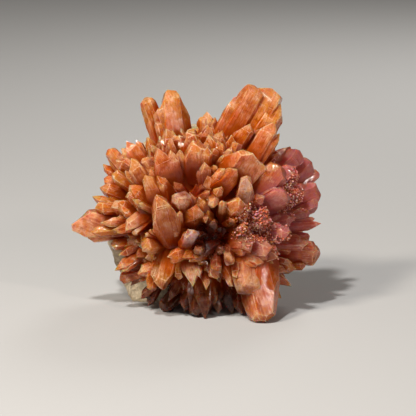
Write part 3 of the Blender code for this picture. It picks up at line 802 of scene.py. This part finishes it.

# %% [markdown]
# ## Creedite
# Creedite is a clear mineral of low lustre: its IOR is about 1.46, less than quartz. Iron colours
# it orange, and tiny veils and healed cracks scatter light inside it, so it is see-through only at
# thin edges. The shader lets nearly half of the light straight through and scatters the rest just
# under the faces, with a plain absorption inside, so thick roots go deep orange and red, and thin
# tips stay pale. Over that lie the coats that colour a real blade, one on the other: milky clouds,
# golden iron stain, frosted edges that are also a painted highlight, growth lines along its length
# and sugary etching at its end. Pale tips and thin edges are partly painted light that shines
# through, and last comes painted shade near the fused mass, between the blades, in the recesses and
# underneath.

# %% Creedite material
CREEDITE_IOR = 1.46
LOW_LUSTRE = 0.35  # specular level: the faces are a little etched
ABSORPTION = 900.0  # for each metre
RELIEF = 0.09  # mm
SHADE_REACH = (12.0, 8.6)  # mm from the heart where the painted shade of the fused mass begins and is full
UPPER_RECESS, LOWER_RECESS = placed(HOLLOWS[0][0]), placed(HOLLOWS[1][0])


def creedite(name, shade_share, dusted, clarity, scatter):
    """The crystals' finish. shade_share is how much painted shade it has in the recesses, near the
    fused mass and underneath, and dusted how much of the mauve on the right. clarity is how much light
    goes straight through, and scatter how far, in mm, the rest goes in."""
    made, tree = new_material(name, TINTS["orange"])
    place = add(tree, "ShaderNodeTexCoord").outputs["Object"]

    def stored(attribute, output="Fac"):
        return add(tree, "ShaderNodeAttribute", attribute_name=attribute).outputs[output]

    def far_from(spot):
        node = add(tree, "ShaderNodeVectorMath", {0: place, 1: tuple(spot)}, operation="DISTANCE")
        return node.outputs["Value"]

    def times(*values):
        product = values[0]
        for value in values[1:]:
            product = figured(tree, "MULTIPLY", product, value)
        return product

    def step(value, low, high, out_low=0.0, out_high=1.0):
        return ranged(tree, value, low, high, out_low, out_high)

    def plus(value, share, rest):
        return figured(tree, "MULTIPLY_ADD", value, share, rest)

    def growth(close, short):
        """Noise drawn out along each blade: close lines to a millimetre, and how often they stop."""
        drawn = {"X": times(across, close), "Y": times(along, short)}
        return clouded(tree, result(tree, "ShaderNodeCombineXYZ", drawn), 1.0, 3.0)

    along, across, frost_and_highlight = stored("along"), stored("across"), stored("frost_and_highlight")
    clouds = clouded(tree, place, 1 / (1.6 * MM), 4.0)
    fine = clouded(tree, place, 1 / (0.5 * MM), 2.0)
    lines, sugar = growth(3.5, 1.0), growth(6.5, 9.0)
    etched = step(clouds, 0.42, 0.58, 0.25)
    rise = step(along, 0.1, 1.0)
    thin = plus(clouds, 0.5, stored("thin"))
    axes = add(tree, "ShaderNodeSeparateXYZ", {"Vector": place}).outputs
    right, height = axes[0], axes[2]

    east = step(figured(tree, "ADD", right, plus(clouds, 5 * MM, -2.5 * MM)), 5.0 * MM, 10.5 * MM)
    high = step(height, 6.0 * MM, 13.0 * MM)
    crown = step(figured(tree, "SUBTRACT", height, right), 11.5 * MM, 7.5 * MM)
    upper = plus(clouds, 5 * MM, far_from(UPPER_RECESS))
    lower = plus(clouds, 5 * MM, far_from(LOWER_RECESS))
    # Painted shade underneath, kept off the lit club on the right.
    underside_shade = times(
        step(plus(clouds, 4 * MM, height), 8.5 * MM, 4.5 * MM), step(right, 8.5 * MM, 6.5 * MM), 0.85
    )
    # Painted shade in the lower recess, or underneath, whichever is stronger.
    painted_shade = figured(tree, "MAXIMUM", step(lower, 7.4 * MM, 4.2 * MM, 0.0, 0.95 * shade_share), underside_shade)
    mass_shade_reach = [reach * MM for reach in SHADE_REACH]

    deep = mixed(tree, step(along, -0.2, 0.45), linear("#8E3406"), linear("#C8560A"))
    body = mixed(tree, rise, deep, stored("tint", "Color"))
    coats = [
        (times(step(clouds, 0.50, 0.62, 0.0, 0.65), rise), "#F4BA8C"),  # milky veils
        (step(clouds, 0.48, 0.36, 0.0, 0.85), "#B85208"),  # deeper orange between them
        (step(lines, 0.47, 0.33, 0.0, 0.6), "#A8480C"),  # grooves
        (times(step(lines, 0.53, 0.66, 0.0, 0.45), rise), "#F8BC8E"),  # ribs
        (times(step(sugar, 0.48, 0.62, 0.0, 0.55), rise, etched), "#FFDABC"),  # sugary etching
        (step(plus(clouds, 0.8, along), 0.95, 1.45, 0.0, 0.3), "#E8A87E"),  # paler colour of the tips, and painted light shining through them
        (times(step(thin, 0.5, 1.1, 0.0, 0.65), rise), "#F0AE78"),  # painted light shining through thin edges
        (times(frost_and_highlight, step(fine, 0.36, 0.6, 0.15, 0.85), rise), "#FFD4AC"),  # chipped, frosted edges, partly a painted highlight
        (times(step(fine, 0.50, 0.36, 0.0, 0.6), rise), "#D88418"),  # golden stain
        (step(fine, 0.58, 0.68, 0.0, 0.35), "#7A3208"),  # specks
        (step(far_from(HEART * MM), *mass_shade_reach, 0.0, 0.8 * shade_share), "#84300E"),  # painted shade near the fused mass
        (step(stored("occlusion"), 0.18, 0.72, 0.0, 0.95), "#983808"),  # painted shade between the blades
        (times(east, high, crown, dusted), "#BE6A70"),  # mauve dust
        (step(upper, 7.0 * MM, 4.4 * MM, 0.0, 0.7 * shade_share), "#782212"),  # painted shade in the upper recess
        (painted_shade, "#420C02"),  # painted shade in the lower recess and underneath
    ]
    for share, code in coats:
        body = mixed(tree, share, body, linear(code))

    rough = step(clouds, 0.42, 0.54, 0.04, 0.11)
    rough = figured(tree, "ADD", rough, step(fine, 0.35, 0.65, -0.01, 0.05))
    relief = plus(sugar, times(etched, 0.3), plus(lines, 1.6, fine))
    bump = result(tree, "ShaderNodeBump", {"Strength": 0.45, "Distance": RELIEF * MM, "Height": relief})
    finish = {
        "Base Color": body,
        "Roughness": plus(painted_shade, 0.2, rough),
        "IOR": CREEDITE_IOR,
        "Specular IOR Level": LOW_LUSTRE,
        "Transmission Weight": clarity,
        "Subsurface Weight": 1.0,
        "Subsurface Radius": (2.0, 0.6, 0.15),
        "Subsurface Scale": scatter * MM,
        "Normal": bump,
    }
    surface = result(tree, "ShaderNodeBsdfPrincipled", finish)
    inside = {"Color": (*linear("#FFA040"), 1.0), "Density": ABSORPTION}
    volume = result(tree, "ShaderNodeVolumeAbsorption", inside)
    add(tree, "ShaderNodeOutputMaterial", {"Surface": surface, "Volume": volume})
    return made


creedite_material = creedite("creedite, etched by growth", 1.0, 0.58, 0.45, 1.0)
druse_material = creedite("creedite druse", 0.0, 0.3, 0.1, 0.08)
print(creedite_material.name, "has", len(creedite_material.node_tree.nodes), "nodes")

# %% [markdown]
# ## The whole burst, with Geometry Nodes
# Between the blades the mass is covered with hundreds of stubby crystals. They all follow one rule,
# so a node tree scatters them: points on the fused mass, one crystal from a small set on each,
# pointing away from the heart with some disorder. The tree then joins them with the blades and the
# mass by a Boolean union, takes away the room of the matrix and of the table, and leaves one closed
# skin.

# %% A few stubby crystals to scatter
SPROUT_SIZE = [6 * MM, 1.6 * MM, 0.7 * MM]  # length, width and thickness
SPROUT_ROOT = 3.2  # mm below the surface
sprout_shapes = new_collection("sprout shapes")
for number, end in enumerate(("point", "chisel", "slant", "spear", "spear", "wedge")):
    bm = upright_crystal(*SPROUT_SIZE, end, rng, worn=0.05, step=0)
    bmesh.ops.translate(bm, verts=bm.verts, vec=(0, 0, -SPROUT_ROOT * MM))
    new_object(bm, f"sprout {number}", sprout_shapes)


# %% What both trees need
def tree_inputs(tree, sockets):
    """Adds the group's sockets and returns the Group Input node and each socket's identifier by name."""
    for way in ("INPUT", "OUTPUT"):
        tree.interface.new_socket("Geometry", in_out=way, socket_type="NodeSocketGeometry")
    found = {}
    for name, kind, *value in sockets:
        socket = tree.interface.new_socket(name, in_out="INPUT", socket_type="NodeSocket" + kind)
        if value:
            socket.default_value = value[0]
        found[name] = socket.identifier
    return add(tree, "NodeGroupInput").outputs, found


def stored_value(tree, geometry, name, kind, value, domain="INSTANCE"):
    """Stores a named attribute and returns the geometry that carries it."""
    inputs = {"Geometry": geometry, "Name": name, "Value": value}
    return result(tree, "GeometryNodeStoreNamedAttribute", inputs, domain=domain, data_type=kind)


def named(tree, name, kind):
    """The value of a named attribute."""
    return result(tree, "GeometryNodeInputNamedAttribute", {"Name": name}, data_type=kind)


def random_value(tree, kind, low, high, seed):
    """A random number or vector for each point."""
    first, second, drawn = {"FLOAT_VECTOR": (0, 1, 0), "FLOAT": (2, 3, 1)}[kind]
    inputs = {first: low, second: high, "Seed": seed}
    return add(tree, "FunctionNodeRandomValue", inputs, data_type=kind).outputs[drawn]


def disordered(tree, direction, disorder, seed):
    """The rotation that stands +Z along a direction, with some disorder."""
    wild = random_value(tree, "FLOAT_VECTOR", (-1, -1, -1), (1, 1, 1), seed)
    wild = vectors(tree, "SCALE", {0: wild, "Scale": disorder})
    heading = vectors(tree, "ADD", {0: direction, 1: wild})
    return result(tree, "FunctionNodeAlignRotationToVector", {"Vector": heading}, axis="Z")


def pieces_of(tree, collection, centred=False):
    """The objects of a collection, each where it stands or centred on the origin."""
    inputs = {"Collection": collection, "Separate Children": True, "Reset Children": centred}
    return result(tree, "GeometryNodeCollectionInfo", inputs)


def set_on(tree, points, shapes, turn, size):
    """One of the shapes on each point."""
    inputs = {"Points": points, "Instance": pieces_of(tree, shapes, centred=True), "Pick Instance": True}
    inputs.update({"Rotation": turn, "Scale": size})
    return result(tree, "GeometryNodeInstanceOnPoints", inputs)


def finish_tree(tree, geometry, material):
    """Ends the tree with real geometry of one material."""
    whole = result(tree, "GeometryNodeRealizeInstances", {"Geometry": geometry})
    done = result(tree, "GeometryNodeSetMaterial", {"Geometry": whole, "Material": material})
    add(tree, "NodeGroupOutput", {"Geometry": done})


def grown_by(obj, tree, ids, values):
    """Runs a node tree on the object, and returns the plain mesh it makes."""
    modifier = obj.modifiers.new(tree.name, "NODES")
    modifier.node_group = tree
    for name, value in values.items():
        modifier[ids[name]] = value
    graph = bpy.context.evaluated_depsgraph_get()
    mesh = bpy.data.meshes.new_from_object(obj.evaluated_get(graph))
    obj.modifiers.remove(modifier)
    return mesh


print("tree helpers ready")


# %% The tree of the burst
def burst_tree():
    """Scatters the sprouts, joins everything in one skin and makes room for the matrix and the table."""
    tree = bpy.data.node_groups.new("creedite burst", "GeometryNodeTree")
    sockets = [
        ("Blades", "Collection"),
        ("Sprout shapes", "Collection"),
        ("Cutters", "Collection"),
        ("Sprouts per square metre", "Float", 0.8e6),
        ("Focus", "Vector"),
        ("Disorder", "Float", 0.3),
        ("Seed", "Int", 3),
        ("Material", "Material"),
    ]
    group, ids = tree_inputs(tree, sockets)
    core, seed = group["Geometry"], group["Seed"]
    sprouting = named(tree, "sprouting", "FLOAT")
    density = figured(tree, "MULTIPLY", group["Sprouts per square metre"], sprouting)
    inputs = {"Mesh": core, "Density": density, "Seed": seed}
    points = add(tree, "GeometryNodeDistributePointsOnFaces", inputs).outputs["Points"]
    position = result(tree, "GeometryNodeInputPosition")
    outward = vectors(tree, "SUBTRACT", {0: position, 1: group["Focus"]})
    outward = vectors(tree, "NORMALIZE", {0: outward})
    turn = disordered(tree, outward, group["Disorder"], seed)
    spin = random_value(tree, "FLOAT_VECTOR", (0, 0, 0), (0, 0, math.tau), seed)
    spin = result(tree, "FunctionNodeEulerToRotation", {"Euler": spin})
    inputs = {"Rotation": turn, "Rotate By": spin}
    turn = result(tree, "FunctionNodeRotateRotation", inputs, rotation_space="LOCAL")
    size = random_value(tree, "FLOAT_VECTOR", (0.55, 0.55, 0.55), (1.45, 1.25, 1.2), seed)
    sprouts = set_on(tree, points, group["Sprout shapes"], turn, size)
    number = result(tree, "GeometryNodeInputIndex")
    sprouts = stored_value(tree, sprouts, "crystal", "INT", number)
    ramp = add(tree, "ShaderNodeValToRGB", {"Fac": random_value(tree, "FLOAT", 0.0, 1.0, seed)})
    stops = ramp.color_ramp.elements
    stops.remove(stops[1])
    stops[0].color = (*TINTS["rust"], 1.0)
    for stop, tint in ((0.35, "orange"), (0.7, "salmon"), (1.0, "honey")):
        stops.new(stop).color = (*TINTS[tint], 1.0)
    sprouts = stored_value(tree, sprouts, "tint", "FLOAT_COLOR", ramp.outputs[0])
    loose = result(tree, "GeometryNodeRealizeInstances", {"Geometry": sprouts})
    tint = named(tree, "tint", "FLOAT_COLOR")
    loose = stored_value(tree, loose, "tint", "FLOAT_COLOR", tint, "FACE")
    inputs = {"Geometry": loose, "Group ID": named(tree, "crystal", "INT")}
    each = result(tree, "GeometryNodeSplitToInstances", inputs, domain="FACE")
    union = add(tree, "GeometryNodeMeshBoolean", operation="UNION", solver="MANIFOLD")
    for part in (each, pieces_of(tree, group["Blades"]), core):
        tree.links.new(part, union.inputs["Mesh 2"])
    inputs = {"Mesh 1": union.outputs[0], "Mesh 2": pieces_of(tree, group["Cutters"])}
    trimmed = result(tree, "GeometryNodeMeshBoolean", inputs, operation="DIFFERENCE", solver="MANIFOLD")
    finish_tree(tree, trimmed, group["Material"])
    return tree, ids


burst, burst_ids = burst_tree()
print("the tree of the burst has", len(burst.nodes), "nodes")

# %% Grow the burst
SHARP = math.radians(24)  # between two faces, from which their edge is seen as an edge


def core_shape():
    """The fused mass, a squashed ball with a lumpy surface."""
    bm = bmesh.new()
    bmesh.ops.create_icosphere(bm, subdivisions=4, radius=1.0)
    for vert in bm.verts:
        direction = vert.co.normalized()
        lumps = 1 + 0.06 * noise.noise(direction * 3.0) - 0.30 * hollowness(direction)
        vert.co = placed(direction * CORE * lumps)
    bmesh.ops.recalc_face_normals(bm, faces=bm.faces)
    return bm


def largest_shell(mesh):
    """Deletes every shell but the largest: sealed pockets between roots, and crumbs."""
    bm = bmesh.new()
    bm.from_mesh(mesh)
    unseen, shells = set(bm.faces), []
    while unseen:
        edge_of = [unseen.pop()]
        shell = list(edge_of)
        while edge_of:
            near = {f for edge in edge_of.pop().edges for f in edge.link_faces} & unseen
            unseen -= near
            shell += near
            edge_of += near
        shells.append(shell)
    shells.sort(key=len)
    bmesh.ops.delete(bm, geom=[face for shell in shells[:-1] for face in shell], context="FACES")
    bm.to_mesh(mesh)
    bm.free()
    return len(shells)


core = new_object(core_shape(), "fused mass", bpy.context.scene.collection)
sprouting = core.data.attributes.new("sprouting", "FLOAT", "POINT")
for vert, item in zip(core.data.vertices, sprouting.data):
    local = as_seen(vert.co - heart) / MM
    item.value = 0 if covered(local, listed, 0.8) else 1 - 0.4 * hollowness(local)
paint_faces(core.data, "tint", linear("#8A3A1C"))
values = {"Blades": blade_objects, "Sprout shapes": sprout_shapes, "Cutters": helpers}
values.update({"Focus": tuple(placed((*FOCUS, 4.5))), "Material": creedite_material})
mesh = grown_by(core, burst, burst_ids, values)
shells = largest_shell(mesh)
mesh.calc_loop_triangles()
mesh.shade_smooth()
mesh.set_sharp_from_angle(angle=SHARP)
crystals_object = bpy.data.objects.new("creedite_blades", mesh)
bpy.context.scene.collection.objects.link(crystals_object)
for extra in [core, *blade_objects.objects, *sprout_shapes.objects, *helpers.objects]:
    bpy.data.objects.remove(extra)
print("the burst has", len(mesh.loop_triangles), "triangles in", shells, "shells; one is kept")

# %% [markdown]
# ## Occlusion and thin edges
# Little light reaches deep between the blades, and there the material paints the shade in. A mesh
# can know this about itself. From each vertex a few rays go out, and the share of them that soon
# meets another crystal is stored as an attribute, which the material turns into a deep orange-brown
# painted shade. A few shorter rays go inward in the same way. Where most of them soon come out again
# the crystal is thin, and the material makes it paler there, as painted light that shines through.


# %% How occluded each vertex is, for the painted shade
def met_nearby(mesh, tree, reach, count, side=1):
    """The share of count rays from each vertex that meets the mesh in reach. Side -1 is inward."""
    rays = [direction * 0.95 for direction in even_directions(count)]
    shares = []
    for vert, item in zip(mesh.vertices, mesh.vertex_normals):
        normal = side * item.vector
        start = vert.co + normal * (0.06 * MM)
        met = sum(tree.ray_cast(start, normal + ray, reach)[0] is not None for ray in rays)
        shares.append(met / count)
    return shares


surface = BVHTree.FromPolygons([v.co for v in mesh.vertices], [p.vertices for p in mesh.polygons])
for name, shares in (
    ("occlusion", met_nearby(mesh, surface, 5 * MM, 12)),
    ("thin", met_nearby(mesh, surface, 0.8 * MM, 10, side=-1)),
):
    mesh.attributes.new(name, "FLOAT", "POINT").data.foreach_set("value", shares)
    print("mean of", name, round(sum(shares) / len(shares), 3))

# %% [markdown]
# ## Druse
# Druse is a crust of tiny crystals, grown last. On this cluster it glitters in the recesses and on
# the dusted right flank. It is far too fine to model by hand, and it follows a rule: it is thickest
# near a few places, and sits where the water could reach. So rays are sent at each place from
# outside, every point that one meets is a seat, and a second node tree grows a tiny crystal on each
# seat, standing up from its face with some disorder.

# %% Where the druse grows
DRUSE_SPOTS = [  # right, up and front of the heart, mm, and how far the patch reaches
    (Vector((7.4, -1.8, 9.4)), 3.8),
    (Vector((13.2, 2.6, 3.6)), 4.4),
    (Vector((11.6, -4.4, 6.2)), 2.8),
]
DRUSE_RAYS = 210  # for each square millimetre of a patch's reach squared
RAY_RISE = 7.0  # mm, how far above its target a ray starts
RAY_SPREAD = 0.9  # how far a ray may slant


def crusted(spot):
    """How thick the druse is at a world point: 1 in the middle of a patch, 0 outside."""
    away = min((spot - placed(middle)).length / (reach * MM) for middle, reach in DRUSE_SPOTS)
    return max(0.0, min(1.0, 1.6 - 1.6 * away))


def druse_seats(surface, rng):
    """Loose points where rays meet the burst, each with its face's normal and its own number."""
    spots, facings, numbers = [], [], []
    for middle, reach in DRUSE_SPOTS:
        outward = (placed(middle) - heart).normalized()
        for _ in range(int(DRUSE_RAYS * reach * reach)):
            aside, slant = (Vector([rng.uniform(-1, 1) for _ in range(3)]) for _ in range(2))
            target = placed(middle) + aside * reach * MM
            start = target + (outward + RAY_SPREAD * slant) * RAY_RISE * MM
            number, chance = rng.randrange(10**6), rng.random()
            spot, facing, _, _ = surface.ray_cast(start, target - start, 2 * RAY_RISE * MM)
            if spot is not None and chance < crusted(spot):
                spots.append(spot)
                facings.extend(facing)
                numbers.append(number)
    made = bpy.data.meshes.new("druse seats")
    made.from_pydata(spots, [], [])
    made.attributes.new("facing", "FLOAT_VECTOR", "POINT").data.foreach_set("vector", facings)
    made.attributes.new("id", "INT", "POINT").data.foreach_set("value", numbers)
    return made


seats = bpy.data.objects.new("druse seats", druse_seats(surface, rng))
bpy.context.scene.collection.objects.link(seats)
print(len(seats.data.vertices), "crystals of druse")


# %% The druse tree, and the crust it grows
DRUSE_ALONG = 0.85  # every druse crystal is coloured like the end of a blade
DRUSE_SIZE = [0.55 * MM, 0.28 * MM, 0.66 * 0.28 * MM]  # length, width and thickness, before scaling
DRUSE_ROOT = 0.35  # share of the length below the surface


def druse_tree():
    """Stands one tiny crystal on each seat, of its own size and colour."""
    tree = bpy.data.node_groups.new("fine druse", "GeometryNodeTree")
    sockets = [
        ("Shapes", "Collection"),
        ("Smallest", "Float", 0.45),
        ("Largest", "Float", 1.25),
        ("Disorder", "Float", 0.7),
        ("Seed", "Int", 8),
        ("Material", "Material"),
        ("Low colour", "Color"),
        ("Middle colour", "Color"),
        ("High colour", "Color"),
    ]
    group, ids = tree_inputs(tree, sockets)
    seed = group["Seed"]
    turn = disordered(tree, named(tree, "facing", "FLOAT_VECTOR"), group["Disorder"], seed)
    size = random_value(tree, "FLOAT", group["Smallest"], group["Largest"], seed)
    crust = set_on(tree, group["Geometry"], group["Shapes"], turn, size)
    amount = random_value(tree, "FLOAT", 0.0, 1.0, seed)
    low = mixed(tree, amount, group["Low colour"], group["Middle colour"])
    # The high, snow-white colour is partly the druse's frost and partly painted glints.
    tint = mixed(tree, figured(tree, "POWER", amount, 2.2), low, group["High colour"])
    crust = stored_value(tree, crust, "tint", "FLOAT_COLOR", tint)
    crust = stored_value(tree, crust, "along", "FLOAT", DRUSE_ALONG)
    finish_tree(tree, crust, group["Material"])
    return tree, ids


druse_shapes = new_collection("druse shapes")
for number, end in enumerate(("point", "chisel", "spear")):
    bm = upright_crystal(*DRUSE_SIZE, end, rng, worn=0, step=0)
    bmesh.ops.translate(bm, verts=bm.verts, vec=(0, 0, -DRUSE_ROOT * DRUSE_SIZE[0]))
    new_object(bm, f"druse shapes {number}", druse_shapes)
tree, ids = druse_tree()
values = {"Shapes": druse_shapes, "Material": druse_material}
for name, tint in (("Low colour", "wine"), ("Middle colour", "rose"), ("High colour", "snow")):
    values[name] = (*TINTS[tint], 1.0)
druse = bpy.data.objects.new("fine_druse", grown_by(seats, tree, ids, values))
bpy.context.scene.collection.objects.link(druse)
for extra in [seats, *druse_shapes.objects]:
    bpy.data.objects.remove(extra)
druse.data.calc_loop_triangles()
print("fine_druse has", len(druse.data.loop_triangles), "triangles")

# %% [markdown]
# ## The matrix, weathered
# The rock is a dull, fine-grained stone, chalky and cream-white, with grey-brown grains and rusty
# patches where water ran off the crystals. Nothing can be seen into it, so a rough surface colour
# is enough. Its form is remeshed evenly and roughened with real relief, coarse and fine, because
# its outline shows between the blades.

# %% Matrix mesh
VOXEL = 0.28  # mm
FOOT_LEFT_FLAT = 0.4  # mm above the table
COARSE_GRAIN, FINE_GRAIN = 0.30, 0.10  # mm of relief

rock = new_object(matrix_shape(), "matrix_rock", bpy.context.scene.collection)
remesh = rock.modifiers.new("even mesh", "REMESH")
remesh.mode = "VOXEL"
remesh.voxel_size = VOXEL * MM
mesh = bpy.data.meshes.new_from_object(rock.evaluated_get(bpy.context.evaluated_depsgraph_get()))
rock.modifiers.clear()
rock.data = mesh
normals = [Vector(item.vector) for item in mesh.vertex_normals]
for vert, normal in zip(mesh.vertices, normals):
    if vert.co.z >= FOOT_LEFT_FLAT * MM:
        spot = vert.co / MM
        grain = COARSE_GRAIN * noise.fractal(spot / 2.0, 1.0, 2.0, 5)
        grain += FINE_GRAIN * noise.noise(spot / 0.5)
        vert.co += normal * grain * MM
mesh.update()
print("the matrix has", len(mesh.polygons), "faces")


# %% Matrix material
def plain_shader(tree, body, rough, **more):
    """A surface that nothing can be seen into."""
    surface = result(tree, "ShaderNodeBsdfPrincipled", {"Base Color": body, "Roughness": rough, **more})
    add(tree, "ShaderNodeOutputMaterial", {"Surface": surface})


def matrix_rock():
    """Chalky white rock with grey-brown grain and rusty patches."""
    made, tree = new_material("white matrix rock, broken", linear("#D8CDBB"))
    place = add(tree, "ShaderNodeTexCoord").outputs["Object"]
    clouds = clouded(tree, place, 1 / (2.5 * MM), 5.0)
    grain = clouded(tree, place, 1 / (0.3 * MM), 3.0)
    body = mixed(tree, ranged(tree, clouds, 0.35, 0.65), linear("#A08A68"), linear("#DECDB0"))
    body = mixed(tree, ranged(tree, clouds, 0.56, 0.70, 0.0, 0.5), body, linear("#A5784A"))
    body = mixed(tree, ranged(tree, grain, 0.6, 0.4, 0.0, 0.3), body, linear("#786A54"))
    bump = result(tree, "ShaderNodeBump", {"Strength": 0.6, "Distance": 0.12 * MM, "Height": grain})
    plain_shader(tree, body, 0.85, Normal=bump)
    return made


rock.data.materials.append(matrix_rock())
print(rock.data.materials[0].name, "is on the matrix")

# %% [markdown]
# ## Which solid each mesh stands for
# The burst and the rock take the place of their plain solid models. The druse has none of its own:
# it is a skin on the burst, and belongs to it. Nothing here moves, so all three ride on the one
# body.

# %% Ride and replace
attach(crystals_object, "root")
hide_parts("creedite_crystals")
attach(druse, "root")
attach(rock, "root")
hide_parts("matrix")

# %% [markdown]
# ## Floor, light and camera
# A specimen is best shown on plain paper with one soft lamp high on the left, so every blade has a
# light and a dark side, a weak fill so the recesses keep their red, and a weak rim light behind.
# Two small lamps give the faces their glints. No lamp is seen through the crystal, where it would
# show as white dots, and the large ones aren't mirrored in its faces either. A long lens far off
# keeps the blades near the front from looking larger than they are.

# %% Floor, light and camera
PIXEL = 0.15  # mm at the heart
PICTURE = 416  # pixels across
DISTANCE = 450.0  # mm
SENSOR = 36  # mm
AIM = (5 * PIXEL, 4 * PIXEL, 0)  # right, up and front of the heart
FLOOR_HALF = 2.5  # metres
PAPER = linear("#A6A4A1")
ROOM_LIGHT = 0.04


def floor():
    """A wide sheet of pale paper under the cluster."""
    mesh = bpy.data.meshes.new("floor")
    corners = [(-1, -1), (1, -1), (1, 1), (-1, 1)]
    mesh.from_pydata([(x * FLOOR_HALF, y * FLOOR_HALF, 0) for x, y in corners], [], [(0, 1, 2, 3)])
    obj = bpy.data.objects.new("floor", mesh)
    bpy.context.scene.collection.objects.link(obj)
    made, tree = new_material("pale paper", PAPER)
    plain_shader(tree, (*PAPER, 1.0), 0.9)
    mesh.materials.append(made)


def area_light(name, offset, size, power, colour, glints=False):
    """A soft square light, aimed at the heart. offset is in mm from it, in world X, Y and Z."""
    lamp = bpy.data.lights.new(name, "AREA")
    lamp.size = size * MM
    lamp.energy = power
    lamp.color = linear(colour)
    obj = bpy.data.objects.new(name, lamp)
    bpy.context.scene.collection.objects.link(obj)
    obj.visible_transmission = False
    obj.visible_glossy = glints
    obj.location = (HEART + Vector(offset)) * MM
    obj.rotation_euler = (-Vector(offset)).to_track_quat("-Z", "Y").to_euler()


bpy.context.scene.view_settings.view_transform = "Standard"
floor()
area_light("key", (-180, -170, 242), 60, 1.08, "#FFF8EE")
area_light("glint", (-90, -160, 330), 30, 1.3, "#FFFFFF", glints=True)
area_light("second glint", (190, -260, 170), 30, 0.30, "#FFF0E6", glints=True)
area_light("fill", (-40, -320, 90), 240, 0.15, "#F8F4F4")
area_light("rim", (90, 240, 170), 100, 0.4, "#FFFFFF")
world = bpy.data.worlds.new("soft room")
world.use_nodes = True
room = world.node_tree.nodes["Background"].inputs
room["Color"].default_value = (*linear("#E8E6E2"), 1.0)
room["Strength"].default_value = ROOM_LIGHT
bpy.context.scene.world = world

camera_data = bpy.data.cameras.new("camera")
camera = bpy.data.objects.new("camera", camera_data)
bpy.context.scene.collection.objects.link(camera)
camera_data.sensor_width = SENSOR
camera_data.lens = SENSOR * DISTANCE / (PICTURE * PIXEL)
camera_data.clip_start = 0.01
camera.matrix_world = Matrix((RIGHT, UP, FRONT)).transposed().to_4x4()
camera.location = placed(AIM) + FRONT * DISTANCE * MM
bpy.context.scene.camera = camera
print("the lens is", round(camera_data.lens), "mm, and", len(bpy.data.lights), "lamps are lit")
